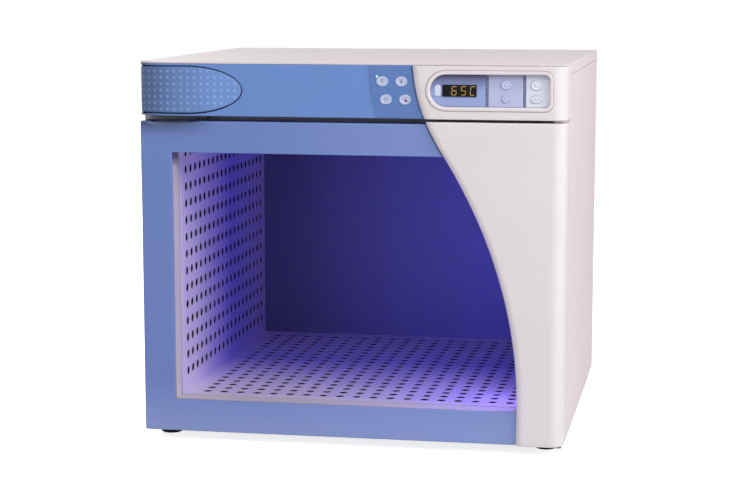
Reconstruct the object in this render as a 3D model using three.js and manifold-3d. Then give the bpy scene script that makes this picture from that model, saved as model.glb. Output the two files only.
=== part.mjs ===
// Free-standing blanket warming cabinet: a control head with a push pad over a swept glass door.
// Millimetres, +Z up, front facing -Y, origin on the floor under the middle of the cabinet.
import * as THREE from "three";
import { mergeVertices } from "three/addons/utils/BufferGeometryUtils.js";
import Module from "manifold-3d";

const wasm = await Module();
wasm.setup();

// Overall sizes
const WIDTH = 762;
const DEPTH = 730;
const HEIGHT = 682;

// Fits and wall thicknesses
const FIT = 0.3; // gap between pieces that rest on each other
const RUN = 0.4; // gap round a button that slides
const PIN_FIT = 0.3; // gap round a pin that something turns on
const PAST = 1; // how far a cutting shape runs past the face that it cuts
const SHEET = 1.5; // folded steel sheet
const WALL = 3; // moulded wall
const SKIN = 3.5; // front skin of the strip and of the door frame

// Front, from the floor up
const FOOT_HEIGHT = 18;
const DOOR_GAP = 9.2; // between the blue door frame and the strip
const WING_GAP = 5; // between the white wing and the white end cover
const STRIP_HEIGHT = 92;
const TOP_PLATE = 3;

// Front, from the foremost plane back
const RIM_PROUD = 1.5; // bezel ring in front of the white covers
const COVER_PROUD = 8; // white covers in front of the blue face
const DOOR_THICKNESS = 41;
const SEAL_GAP = 7; // between the shut door and the front frame
const INLET_PROUD = 2.5; // inlet flange behind the back panel

// Ends of the front, seen from above
const END_WIDTH = 60; // left end of the strip: half an ellipse's width
const END_DEPTH = 28;
const END_RADIUS = 24; // right end of the white covers
const COVER_STEP = 44; // right-hand stretch where the white covers reach back to the body

// Edge between the blue and the white: shares of the width and of the front's height, from the top left
const SWEEP = [[0.6494, 0], [0.6534, 0.083], [0.6755, 0.154], [0.7188, 0.233],
  [0.8019, 0.386], [0.891, 0.605], [0.8925, 0.8926], [0.8914, 1]];
const SWEEP_STEPS = 28;

// Casing and chamber
const TOP_RIM = 16; // fold of the top cover down over the sides
const SEAM = 0.5; // open line under that fold
const FOOT_RADIUS = 20;
const FOOT_INSET = 36;
const FOOT_CHAMFER = { across: 2, up: 3 };
const FRAME_THICKNESS = 12;
const CHAMBER_SIDE = 63; // outer side to the chamber's wall
const CHAMBER_REAR = 37.5; // back panel to the chamber's back wall
const CEILING_DROP = 37.8; // top of the door frame down to the ceiling
const BASE_WOOL = 40;
const VENT = { columns: [-190, 0], length: 95, rows: 6, pitch: 12, height: 5, above: 40 };
const LAMP = { from: 8, width: 22, margin: 40, housing: 7, lens: 4 };
const PROBE = { radius: 3, length: 60, fromSide: 40, fromBack: 70 };

// Air system
const DUCT_HEIGHT = 70;
const DUCT_DEPTH = 200;
const DUCT_Y = 140;
const INTAKE = { radius: 65, bar: 4 };
const WHEEL = { radius: 75, plate: 3, fromTop: 17, fromFloor: 10, hub: 12, hubHeight: 15 };
const BLADE = { count: 10, length: 28, half: 1 };
const SHAFT = { radius: 4, below: 10 };
const MOTOR = { radius: 45, height: 48 };
const HEATER = { radius: 4, passes: 4, pitch: 30, fromWheel: 40, fromWall: 40 };
const THERMOSTAT = { across: 150, radius: 9, height: 9 };

// Electrics
const INLET = { fromSide: 127, above: 62, width: 28, height: 20, depth: 25, flange: 11, lip: 3, socket: 16 };
const INLET_PINS = { places: [[-6, -2], [6, -2], [0, 3]], length: 10, halfWidth: 1, halfHeight: 2 };
const SUPPLY = { half: 70, fromDuct: 12, fromBack: 38, height: 43 };

// Door
const DOOR_INSET = 6; // left edge of the door in from the cabinet's side
const DOOR_EDGE = 8; // rounding of that edge
const RAIL_BOTTOM = 58;
const RAIL_TOP = 56;
const WINDOW_UNDERLAP = 8; // window cut behind the wing's edge
const GLASS = 5;
const GLASS_HOLD = 10; // glass edge held behind the frame
const BACK_PLATE = 3;
const GASKET_WIDTH = 14;
const GASKET_MARGIN = 4;
const POCKET = { left: 20, right: 130, front: 5, back: 24, depth: 16, wall: 2.5 };

// Hinges
const PIN_RADIUS = 3;
const PIN_FROM_SIDE = 12;
const PIN_FROM_FACE = 17; // clear of the rounded end of the wing
const PIN_DEPTH = 27;
const HINGE_PLATE = 3;
const HINGE_FLANGE = 2.5;
const HINGE_HALF = 10;
const HINGE_EDGE = { left: 12, right: 8 };
const PIN_HOLE = 1.5; // extra round the pin where it passes through the wing
const HINGE_GRIP = 46;
const BOSS_HEIGHT = 37;
const BOSS_HALF = 7;
const BOSS_WIDTH = 26;

// Push pad
const PAD_STRAIGHT = 90;
const PAD_TIP = 193;
const PAD_RIM = 3;
const PAD_GROOVE = 2;
const PAD_REACH = 32;
const PAD_PIN = { x: 171, y: 10, radius: 2.5 };
const LUG = { half: 7, behind: 6, halfHeight: 13 };
const ARM = { left: 100, right: 120, back: 33, thickness: 4, top: 41, slot: 6 };
const MAGNET = { margin: 2, height: 5.7, length: 8 };
const STRIKE = { thickness: 1, airGap: 1 };

// Keypad and controller
const KEY = { across: 10.5, up: 8.8 }; // half sizes of an oval key
const KEY_ROWS = [0.302, 0.641];
const KEY_OFFSETS = [55.8, 22.3];
const KEY_PROUD = 2.5;
const KEY_TRAVEL = 1.2;
const OVERLAY = { top: 75.3, bottom: 82, margin: 2, gap: 2.2, thickness: 1 };
const LED = { radius: 1.6, left: 9.4, above: 8.2, length: 1.5 };
const BEZEL = { left: 18.5, right: 24, top: 8.5, bottom: 15, rim: 6.5, corner: 15, collar: 2.5 };
const PLATE_SHARES = { display: [0, 0.463], adjust: [0.489, 0.777], function: [0.802, 1] };
const PLATE_RECESS = 6;
const PLATE_THICKNESS = 4;
const BUTTON_PROUD = 2.5;
const BUTTON_TRAVEL = 1;
const BUTTON_ROWS = [0.312, 0.738];
const BUTTON_SHARES = { adjust: 0.52, function: 0.44 }; // across their plate
const ADJUST_BUTTONS = [{ across: 8.9, up: 7.9 }, { across: 7, up: 7 }];
const FUNCTION_BUTTONS = [{ across: 9.7, up: 8.7 }, { across: 9.8, up: 7 }];
const DISPLAY = { window: [0.102, 0.391], lens: [0.036, 0.089], half: 10.2 };

// Levels worked out from the above
const LEFT = -WIDTH / 2;
const FACE_Y = -DEPTH / 2 + RIM_PROUD + COVER_PROUD;
const SEAT = DOOR_THICKNESS + SEAL_GAP;
const BODY_Y = FACE_Y + SEAT;
const BACK_Y = DEPTH / 2 - INLET_PROUD;
const COVER_Z = HEIGHT - TOP_PLATE;
const FRONT_HEIGHT = COVER_Z - FOOT_HEIGHT;
const STRIP_Z = COVER_Z - STRIP_HEIGHT;
const DOOR_HEIGHT = FRONT_HEIGHT - STRIP_HEIGHT - DOOR_GAP;
const SIDE_IN = WIDTH / 2 - SHEET - FIT;
const CHAMBER_X = WIDTH / 2 - CHAMBER_SIDE;
const CHAMBER_FRONT = BODY_Y + FRAME_THICKNESS + FIT;
const CHAMBER_BACK = BACK_Y - CHAMBER_REAR;
const FLOOR_Z = FOOT_HEIGHT + RAIL_BOTTOM;
const CEILING_Z = FOOT_HEIGHT + DOOR_HEIGHT - CEILING_DROP;
const PAN_Z = FOOT_HEIGHT + SHEET + FIT;
const SHOULDER_Z = COVER_Z - TOP_RIM;
const PIN_X = WIDTH - PIN_FROM_SIDE;
const PIN_Y = PIN_FROM_FACE;

// Ranges are pairs of numbers, from and to.
const span = ([from, to]) => to - from;
const middle = ([from, to]) => (from + to) / 2;
const grow = ([from, to], margin) => [from - margin, to + margin];
const inletX = grow([WIDTH / 2 - INLET.fromSide, WIDTH / 2 - INLET.fromSide], INLET.width / 2);
const inletZ = grow([CEILING_Z + INLET.above, CEILING_Z + INLET.above], INLET.height / 2);

// Finishes
const finish = (color, roughness, metalness = 0) =>
  new THREE.MeshStandardMaterial({ color, roughness, metalness });
const whiteEnamel = finish(0xe1d9d9, 0.45);
const whiteMoulding = finish(0xe1dbdd, 0.4);
const stripBlue = finish(0x6b8bc6, 0.4);
const padBlue = finish(0x6c8bc2, 0.45);
const doorBlue = finish(0x6e83bc, 0.45);
const overlayBlue = finish(0x6280b9, 0.35);
const keyWhite = finish(0xd5d8ea, 0.4);
const displayBlue = finish(0x99a6d2, 0.4);
const adjustLavender = finish(0xb8bade, 0.4);
const functionPale = finish(0xd4d5e6, 0.4);
const revealGrey = finish(0xaca2ad, 0.5);
const linerSteel = finish(0xb5a9cb, 0.35, 0.6);
const galvanised = finish(0xb9bcc0, 0.4, 0.8);
const darkSteel = finish(0x4a4b50, 0.45, 0.7);
const pinSteel = finish(0xc4c6ca, 0.25, 0.9);
const blackRubber = finish(0x151516, 0.8);
const blackPlastic = finish(0x1b1b1e, 0.4);
const greyRubber = finish(0x55555a, 0.8);
const mineralWool = finish(0xcdbf8e, 0.95);
const boardGreen = finish(0x1f5a3a, 0.5);
const paneGlass = finish(0xdfe8f0, 0.05);
const lampLens = finish(0x8f7cf0, 0.3);
const ledGreen = finish(0x2fbf4a, 0.25);

// Solids
function solid(geometry) {
  const bare = geometry.clone();
  bare.deleteAttribute("normal");
  bare.deleteAttribute("uv");
  const merged = mergeVertices(bare, 1e-4);
  const vertProperties = new Float32Array(merged.attributes.position.array);
  const triVerts = new Uint32Array(merged.index.array);
  return new wasm.Manifold(new wasm.Mesh({ numProp: 3, vertProperties, triVerts }));
}

function surface(body) {
  const { vertProperties, triVerts } = body.getMesh();
  const geometry = new THREE.BufferGeometry();
  geometry.setAttribute("position", new THREE.BufferAttribute(vertProperties, 3));
  geometry.setIndex(new THREE.BufferAttribute(triVerts, 1));
  geometry.computeVertexNormals();
  return geometry;
}

function block(x, y, z) {
  const geometry = new THREE.BoxGeometry(span(x), span(y), span(z));
  return solid(geometry.translate(middle(x), middle(y), middle(z)));
}

function rodZ(radius, x, y, z, segments = 20) {
  const geometry = new THREE.CylinderGeometry(radius, radius, span(z), segments);
  return solid(geometry.rotateX(Math.PI / 2).translate(x, y, middle(z)));
}

function rodY(radius, x, y, z, segments = 20) {
  const geometry = new THREE.CylinderGeometry(radius, radius, span(y), segments);
  return solid(geometry.translate(x, middle(y), z));
}

// A shape drawn on the front (across, up), carried from one depth to another.
function frontSlab(shape, y) {
  const options = { depth: span(y), bevelEnabled: false, curveSegments: 8 };
  return solid(new THREE.ExtrudeGeometry(shape, options).rotateX(Math.PI / 2).translate(0, y[1], 0));
}

// An oval on the front, with a gap all round it.
function ovalShape({ across, up }, gap, x, z) {
  return new THREE.Shape().absellipse(x, z, across + gap, up + gap, 0, 2 * Math.PI);
}

// A shape drawn in plan (across, back), carried from one height to another.
function planSlab(shape, z) {
  const options = { depth: span(z), bevelEnabled: false, curveSegments: 5 };
  return solid(new THREE.ExtrudeGeometry(shape, options).translate(0, 0, z[0]));
}

// A rectangle's outline, with or without a rectangular hole.
function frameShape(x, z, holeX, holeZ) {
  const corners = (a, b) => [[a[0], b[0]], [a[1], b[0]], [a[1], b[1]], [a[0], b[1]]];
  const points = (a, b) => corners(a, b).map(([across, up]) => new THREE.Vector2(across, up));
  const shape = new THREE.Shape(points(x, z));
  if (holeX) {
    shape.holes.push(new THREE.Path(points(holeX, holeZ).reverse()));
  }
  return shape;
}

// Pieces
function piece(parent, name, material, body) {
  const mesh = new THREE.Mesh(surface(body), material);
  mesh.name = name;
  parent.add(mesh);
}

function slab(parent, name, material, x, y, z) {
  const mesh = new THREE.Mesh(new THREE.BoxGeometry(span(x), span(y), span(z)), material);
  mesh.name = name;
  mesh.position.set(middle(x), middle(y), middle(z));
  parent.add(mesh);
}

// Swept edge between the blue and the white
function sweepLine() {
  const points = SWEEP.map(([across, down]) => new THREE.Vector2(across * WIDTH, down * FRONT_HEIGHT));
  const path = new THREE.CurvePath();
  path.add(new THREE.CubicBezierCurve(...points.slice(0, 4)));
  path.add(new THREE.CubicBezierCurve(...points.slice(3, 7)));
  path.add(new THREE.LineCurve(...points.slice(6)));
  return path.getPoints(48);
}

const sweep = sweepLine();

function sweepX(drop) {
  const index = sweep.findIndex((point) => point.y > drop);
  const next = Math.max(index < 0 ? sweep.length - 1 : index, 1);
  const [a, b] = [sweep[next - 1], sweep[next]];
  const share = THREE.MathUtils.clamp((drop - a.y) / (b.y - a.y), 0, 1);
  return THREE.MathUtils.lerp(a.x, b.x, share);
}

// The area right of the swept edge; datum is the height of the front's top in the local frame.
function rightOfSweep(datum, z, inset) {
  const shape = new THREE.Shape();
  shape.moveTo(WIDTH + PAST, z[1]);
  for (let step = 0; step <= SWEEP_STEPS; step++) {
    const height = THREE.MathUtils.lerp(z[1], z[0], step / SWEEP_STEPS);
    shape.lineTo(sweepX(datum - height) + inset, height);
  }
  shape.lineTo(WIDTH + PAST, z[0]);
  return shape;
}

// Plan of a white cover: proud of the blue face, rounded at the right, reaching back beside the body.
function coverPlan(inset, faceBack, back, step) {
  const shape = new THREE.Shape();
  const left = sweep[0].x - END_RADIUS;
  const centre = WIDTH - END_RADIUS;
  shape.moveTo(left, faceBack);
  shape.lineTo(left, inset - COVER_PROUD);
  shape.lineTo(centre, inset - COVER_PROUD);
  shape.absarc(centre, END_RADIUS - COVER_PROUD, END_RADIUS - inset, -Math.PI / 2, 0, false);
  shape.lineTo(WIDTH - inset, back);
  shape.lineTo(step, back);
  shape.lineTo(step, faceBack);
  return shape;
}

// A hollow white cover, open at the back, with its left edge on the swept line.
function sweptCover(datum, z, back) {
  const step = WIDTH - COVER_STEP;
  const inside = [z[0] + WALL, z[1] - WALL];
  const through = [-COVER_PROUD - PAST, back + 2 * PAST];
  const outer = planSlab(coverPlan(0, -FIT, back, step), z)
    .intersect(frontSlab(rightOfSweep(datum, z, 0), through));
  const hollow = planSlab(coverPlan(WALL, PAST, back + PAST, step - PAST), inside)
    .intersect(frontSlab(rightOfSweep(datum, inside, WALL), through));
  return outer.subtract(hollow);
}

// Plan of the strip: straight front, left end turned back along a quarter of an ellipse.
function stripPlan(inset, back, right) {
  const shape = new THREE.Shape();
  const [a, b] = [END_WIDTH - inset, END_DEPTH - inset];
  shape.moveTo(right, back);
  shape.lineTo(inset, back);
  shape.lineTo(inset, END_DEPTH);
  shape.absellipse(END_WIDTH, END_DEPTH, a, b, Math.PI, 1.5 * Math.PI, false);
  shape.lineTo(right, inset);
  return shape;
}

const cabinet = new THREE.Group();
const chamber = new THREE.Group();
const head = new THREE.Group();
const door = new THREE.Group();
cabinet.add(chamber, head, door);
// Head: from the left side, behind the blue face, down from the top cover. Door: up from its bottom edge.
head.position.set(LEFT, FACE_Y, COVER_Z);
door.position.set(LEFT, FACE_Y, FOOT_HEIGHT);

// Casing
function topCover() {
  const plate = new THREE.Shape();
  const centre = END_RADIUS - COVER_PROUD;
  const start = -Math.asin(centre / END_RADIUS);
  plate.moveTo(0, BACK_Y - FACE_Y);
  plate.lineTo(0, END_DEPTH);
  plate.absellipse(END_WIDTH, END_DEPTH, END_WIDTH, END_DEPTH, Math.PI, 1.5 * Math.PI, false);
  plate.absarc(WIDTH - END_RADIUS, centre, END_RADIUS, start, 0, false);
  plate.lineTo(WIDTH, BACK_Y - FACE_Y);
  const under = [SHOULDER_Z - PAST, COVER_Z];
  return planSlab(plate, [SHOULDER_Z, HEIGHT]).translate([LEFT, FACE_Y, 0])
    .subtract(block([LEFT + SHEET, -LEFT - SHEET], [FACE_Y - PAST, BACK_Y - SHEET], under))
    .subtract(block([LEFT - PAST, PAST - LEFT], [FACE_Y - PAST, BODY_Y], under));
}

function backPanel() {
  let panel = block([-SIDE_IN, SIDE_IN], [BACK_Y - SHEET, BACK_Y], [FOOT_HEIGHT, SHOULDER_Z - SEAM]);
  const through = [BACK_Y - SHEET - PAST, BACK_Y + PAST];
  for (const column of VENT.columns) {
    for (let row = 0; row < VENT.rows; row++) {
      const bottom = CEILING_Z + VENT.above + row * VENT.pitch;
      const slot = block(grow([column, column], VENT.length / 2), through, [bottom, bottom + VENT.height]);
      panel = panel.subtract(slot);
    }
  }
  return panel.subtract(block(grow(inletX, FIT), through, grow(inletZ, FIT)));
}

function powerInlet() {
  const rear = DEPTH / 2;
  const { flange, lip, depth, socket } = INLET;
  const mouth = block(grow(inletX, -lip), [rear - socket, rear + PAST], grow(inletZ, -lip));
  let inlet = block(inletX, [rear - depth, rear], inletZ)
    .add(block(grow(inletX, flange), [BACK_Y + FIT, rear], grow(inletZ, lip)))
    .subtract(mouth);
  const { places, length, halfWidth, halfHeight } = INLET_PINS;
  const reach = [rear - socket - PAST, rear - socket + length];
  for (const [across, up] of places) {
    const [x, z] = [middle(inletX) + across, middle(inletZ) + up];
    inlet = inlet.add(block([x - halfWidth, x + halfWidth], reach, [z - halfHeight, z + halfHeight]));
  }
  return inlet;
}

function foot() {
  const { across, up } = FOOT_CHAMFER;
  const top = FOOT_HEIGHT - FIT;
  const profile = [[0, 0], [FOOT_RADIUS - across, 0], [FOOT_RADIUS, up], [FOOT_RADIUS, top], [0, top]];
  const points = profile.map(([radius, height]) => new THREE.Vector2(radius, height));
  return solid(new THREE.LatheGeometry(points, 24).rotateX(Math.PI / 2));
}

function hinge(plateZ, flangeZ, pinZ) {
  const x = [LEFT + PIN_X - HINGE_EDGE.left, LEFT + PIN_X + HINGE_EDGE.right];
  const y = FACE_Y + PIN_Y;
  const rest = BODY_Y - FIT;
  return block(x, [y - HINGE_HALF, rest], plateZ)
    .add(block(x, [rest - HINGE_FLANGE, rest], flangeZ))
    .add(rodZ(PIN_RADIUS, LEFT + PIN_X, y, pinZ));
}

function makeCasing() {
  const sideY = [BODY_Y, BACK_Y];
  const sideZ = [FOOT_HEIGHT, SHOULDER_Z - SEAM];
  piece(cabinet, "top_cover", whiteEnamel, topCover());
  slab(cabinet, "left_side_panel", whiteEnamel, [LEFT, LEFT + SHEET], sideY, sideZ);
  slab(cabinet, "right_side_panel", whiteEnamel, [-LEFT - SHEET, -LEFT], sideY, sideZ);
  piece(cabinet, "back_panel", whiteEnamel, backPanel());
  const panY = [BODY_Y, BACK_Y - SHEET - FIT];
  slab(cabinet, "base_pan", galvanised, [-SIDE_IN, SIDE_IN], panY, [FOOT_HEIGHT, FOOT_HEIGHT + SHEET]);
  const ring = frameShape([-SIDE_IN, SIDE_IN], [PAN_Z, COVER_Z - FIT], [-CHAMBER_X, CHAMBER_X],
    [FLOOR_Z, CEILING_Z]);
  piece(cabinet, "front_frame", whiteEnamel, frontSlab(ring, [BODY_Y, BODY_Y + FRAME_THICKNESS]));
  for (const [side, x] of [["left", LEFT + FOOT_INSET], ["right", -LEFT - FOOT_INSET]]) {
    for (const [end, y] of [["front", BODY_Y + FOOT_RADIUS], ["rear", BACK_Y - FOOT_INSET]]) {
      piece(cabinet, `foot_${end}_${side}`, blackRubber, foot().translate([x, y, 0]));
    }
  }
  const upper = STRIP_Z - (WING_GAP - HINGE_PLATE) / 2;
  const lower = FOOT_HEIGHT - PAST;
  const upperPin = [FOOT_HEIGHT + DOOR_HEIGHT + DOOR_GAP - WING_GAP - PIN_DEPTH, upper - PAST];
  const lowerPin = [lower - HINGE_PLATE + PAST, FOOT_HEIGHT + PIN_DEPTH];
  piece(cabinet, "upper_hinge", whiteEnamel,
    hinge([upper - HINGE_PLATE, upper], [upper - HINGE_PLATE, upper + HINGE_GRIP / 2], upperPin));
  piece(cabinet, "lower_hinge", darkSteel,
    hinge([lower - HINGE_PLATE, lower], [lower - HINGE_PLATE, lower + HINGE_GRIP], lowerPin));
}

// Chamber, its insulation and its lamp
function ceiling() {
  const z = [CEILING_Z, CEILING_Z + SHEET];
  const sheet = block([-CHAMBER_X - SHEET, CHAMBER_X + SHEET], [CHAMBER_FRONT, CHAMBER_BACK + SHEET], z);
  const { radius, bar } = INTAKE;
  const reach = radius + PAST;
  return sheet
    .subtract(rodZ(radius, 0, DUCT_Y, [z[0] - PAST, z[1] + PAST], 24))
    .add(block([-reach, reach], [DUCT_Y - bar, DUCT_Y + bar], z))
    .add(block([-bar, bar], [DUCT_Y - reach, DUCT_Y + reach], z));
}

function makeChamber() {
  const along = [CHAMBER_FRONT, CHAMBER_BACK - FIT];
  const wallZ = [PAN_Z, CEILING_Z - FIT];
  slab(chamber, "liner_left", linerSteel, [-CHAMBER_X - SHEET, -CHAMBER_X], along, wallZ);
  slab(chamber, "liner_right", linerSteel, [CHAMBER_X, CHAMBER_X + SHEET], along, wallZ);
  const backX = [-CHAMBER_X - SHEET, CHAMBER_X + SHEET];
  slab(chamber, "liner_back", linerSteel, backX, [CHAMBER_BACK, CHAMBER_BACK + SHEET], wallZ);
  const floorX = [-CHAMBER_X + FIT, CHAMBER_X - FIT];
  slab(chamber, "chamber_floor", linerSteel, floorX, along, [FLOOR_Z - SHEET, FLOOR_Z]);
  piece(chamber, "chamber_ceiling", linerSteel, ceiling());
  slab(chamber, "base_insulation", mineralWool, floorX, along, [PAN_Z, PAN_Z + BASE_WOOL]);
  const rearY = [CHAMBER_BACK + SHEET + FIT, BACK_Y - SHEET - FIT];
  slab(chamber, "rear_insulation", mineralWool, backX, rearY, wallZ);
  const lampY = [CHAMBER_FRONT + LAMP.from, CHAMBER_FRONT + LAMP.from + LAMP.width];
  const lampZ = [FLOOR_Z + LAMP.margin, CEILING_Z - LAMP.margin];
  const lampBack = CHAMBER_X - FIT;
  const lensBack = lampBack - LAMP.housing - FIT;
  slab(chamber, "lamp_housing", darkSteel, [lensBack + FIT, lampBack], lampY, lampZ);
  slab(chamber, "lamp_lens", lampLens, [lensBack - LAMP.lens, lensBack], lampY, lampZ);
  const probeZ = [CEILING_Z - PROBE.length, CEILING_Z - FIT];
  const probe = rodZ(PROBE.radius, CHAMBER_X - PROBE.fromSide, CHAMBER_BACK - PROBE.fromBack, probeZ, 12);
  piece(chamber, "temperature_probe", pinSteel, probe);
}

// Air system above the ceiling
const DUCT_Z = CEILING_Z + SHEET + FIT;
const DUCT_TOP = DUCT_Z + DUCT_HEIGHT;
const DUCT_FRONT = DUCT_Y - DUCT_DEPTH / 2;
const DUCT_BACK = DUCT_Y + DUCT_DEPTH / 2;

function airDuct() {
  const inX = SIDE_IN - FIT - SHEET;
  const inY = [DUCT_FRONT + SHEET, DUCT_BACK - SHEET];
  const under = [DUCT_Z - PAST, DUCT_Z + SHEET + PAST];
  const over = [DUCT_TOP - SHEET - PAST, DUCT_TOP + PAST];
  const outlet = [CHAMBER_X + 2 * SHEET, inX];
  return block([-SIDE_IN + FIT, SIDE_IN - FIT], [DUCT_FRONT, DUCT_BACK], [DUCT_Z, DUCT_TOP])
    .subtract(block([-inX, inX], inY, [DUCT_Z + SHEET, DUCT_TOP - SHEET]))
    .subtract(block(outlet, inY, under))
    .subtract(block([-outlet[1], -outlet[0]], inY, under))
    .subtract(rodZ(INTAKE.radius, 0, DUCT_Y, under, 24))
    .subtract(rodZ(WHEEL.hub, 0, DUCT_Y, over));
}

function blowerWheel() {
  const plate = [DUCT_TOP - WHEEL.fromTop - WHEEL.plate, DUCT_TOP - WHEEL.fromTop];
  const bladeX = [WHEEL.radius - BLADE.length, WHEEL.radius - PAST];
  const bladeZ = [DUCT_Z + WHEEL.fromFloor, plate[0] + PAST];
  const hubZ = [middle(plate) - WHEEL.hubHeight / 2, middle(plate) + WHEEL.hubHeight / 2];
  let wheel = rodZ(WHEEL.radius, 0, 0, plate, 30)
    .add(rodZ(SHAFT.radius, 0, 0, [plate[0] - SHAFT.below, DUCT_TOP + MOTOR.height / 2]))
    .add(rodZ(WHEEL.hub, 0, 0, hubZ));
  for (let blade = 0; blade < BLADE.count; blade++) {
    const vane = block(bladeX, [-BLADE.half, BLADE.half], bladeZ);
    wheel = wheel.add(vane.rotate([0, 0, (360 * blade) / BLADE.count]));
  }
  return wheel.translate([0, DUCT_Y, 0]);
}

function blowerMotor() {
  const z = [DUCT_TOP + FIT, DUCT_TOP + FIT + MOTOR.height];
  const bore = [z[0] - PAST, DUCT_TOP + MOTOR.height / 2 + PAST];
  return rodZ(MOTOR.radius, 0, DUCT_Y, z, 28).subtract(rodZ(SHAFT.radius + PIN_FIT, 0, DUCT_Y, bore));
}

// A heater rod: up from the duct's floor, back and forth across the duct, and down again.
function heaterRod(side) {
  const height = DUCT_Z + DUCT_HEIGHT / 2;
  const floor = DUCT_Z + SHEET + FIT;
  const [front, back] = [DUCT_FRONT + HEATER.fromWall, DUCT_BACK - HEATER.fromWall];
  const near = WHEEL.radius + HEATER.fromWheel;
  const far = near + (HEATER.passes - 1) * HEATER.pitch;
  const points = [new THREE.Vector3(side * near, front, floor)];
  for (let pass = 0; pass < HEATER.passes; pass++) {
    const ends = pass % 2 ? [back, front] : [front, back];
    for (const y of ends) {
      points.push(new THREE.Vector3(side * (near + pass * HEATER.pitch), y, height));
    }
  }
  points.push(new THREE.Vector3(side * far, front, floor));
  const path = new THREE.CurvePath();
  for (let index = 1; index < points.length; index++) {
    path.add(new THREE.LineCurve3(points[index - 1], points[index]));
  }
  const section = new THREE.Shape().absarc(0, 0, HEATER.radius, 0, 2 * Math.PI, false);
  const rounded = new THREE.CatmullRomCurve3(path.getSpacedPoints(24), false, "centripetal");
  const options = { steps: 48, extrudePath: rounded, curveSegments: 3, bevelEnabled: false };
  return solid(new THREE.ExtrudeGeometry(section, options));
}

function makeAirSystem() {
  piece(cabinet, "air_duct", galvanised, airDuct());
  piece(cabinet, "blower_wheel", pinSteel, blowerWheel());
  piece(cabinet, "blower_motor", darkSteel, blowerMotor());
  piece(cabinet, "heater_left", darkSteel, heaterRod(-1));
  piece(cabinet, "heater_right", darkSteel, heaterRod(1));
  const { across, radius, height } = THERMOSTAT;
  const thermostat = rodZ(radius, across, DUCT_Y, [DUCT_TOP + FIT, DUCT_TOP + FIT + height], 16);
  piece(cabinet, "overheat_thermostat", blackPlastic, thermostat);
}

function makeElectrics() {
  piece(cabinet, "power_inlet", blackPlastic, powerInlet());
  const supplyX = [middle(inletX) - SUPPLY.half, middle(inletX) + SUPPLY.half];
  const supplyY = [DUCT_BACK + SUPPLY.fromDuct, BACK_Y - SUPPLY.fromBack];
  const supplyZ = [DUCT_Z, DUCT_Z + SUPPLY.height];
  slab(cabinet, "power_supply", galvanised, supplyX, supplyY, supplyZ);
}

// Control head
function bezelOutline(inset) {
  const shape = new THREE.Shape();
  const [left, right] = [bezelX[0] + inset, bezelX[1] - inset];
  const [bottom, top] = [bezelZ[0] + inset, bezelZ[1] - inset];
  const round = (top - bottom) / 2;
  const corner = BEZEL.corner - inset;
  shape.moveTo(left + round, bottom);
  shape.absarc(right - corner, bottom + corner, corner, -Math.PI / 2, 0, false);
  shape.absarc(right - corner, top - corner, corner, 0, Math.PI / 2, false);
  shape.absarc(left + round, bottom + round, round, Math.PI / 2, 1.5 * Math.PI, false);
  return shape;
}

const bezelX = [sweepX(STRIP_HEIGHT / 2) + BEZEL.left, WIDTH - BEZEL.right];
const bezelZ = [-STRIP_HEIGHT + BEZEL.bottom, -BEZEL.top];
const plateX = [bezelX[0] + BEZEL.rim, bezelX[1] - BEZEL.rim];
const plateZ = [bezelZ[0] + BEZEL.rim, bezelZ[1] - BEZEL.rim];
const plateY = [PLATE_RECESS - COVER_PROUD, PLATE_RECESS - COVER_PROUD + PLATE_THICKNESS];
const trayY = [plateY[1] + FIT, plateY[1] + FIT + WALL];
const boardY = [trayY[1] + FIT, trayY[1] + FIT + SHEET];

function bezelRing() {
  const rimY = [-COVER_PROUD - RIM_PROUD, -COVER_PROUD - FIT];
  const collarY = [rimY[1] - PAST, plateY[1]];
  const through = [rimY[0] - PAST, plateY[1] + PAST];
  return frontSlab(bezelOutline(0), rimY)
    .add(frontSlab(bezelOutline(BEZEL.rim - BEZEL.collar), collarY))
    .subtract(frontSlab(bezelOutline(BEZEL.rim), through));
}

// Four keys in two columns beside the swept edge: name, centre across and height.
const keys = KEY_ROWS.flatMap((row, line) => KEY_OFFSETS.map((offset, column) => ({
  name: `key_${2 * line + column + 1}`,
  x: sweepX(row * STRIP_HEIGHT) - offset,
  z: -row * STRIP_HEIGHT,
})));
const led = { x: keys[0].x - LED.left, z: keys[0].z + LED.above };

function padOutline(inset) {
  const shape = new THREE.Shape();
  const [bottom, top] = [-STRIP_HEIGHT + PAD_RIM + inset, -FIT - PAD_RIM - inset];
  const reach = PAD_TIP - PAD_STRAIGHT - inset;
  shape.moveTo(-PAST, bottom);
  shape.lineTo(PAD_STRAIGHT, bottom);
  shape.absellipse(PAD_STRAIGHT, (bottom + top) / 2, reach, (top - bottom) / 2,
    -Math.PI / 2, Math.PI / 2, false);
  shape.lineTo(-PAST, top);
  return shape;
}

const padMiddle = (-STRIP_HEIGHT - FIT) / 2;
const armX = [ARM.left, ARM.right];
const magnetX = [ARM.left - MAGNET.margin, ARM.right + MAGNET.margin];
const armMiddle = ARM.back - ARM.thickness / 2;
const magnetY = grow([armMiddle, armMiddle], MAGNET.length / 2);
const magnetBottom = -STRIP_HEIGHT - DOOR_GAP + FIT + STRIKE.thickness + STRIKE.airGap;
const magnetTop = magnetBottom + MAGNET.height;

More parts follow.
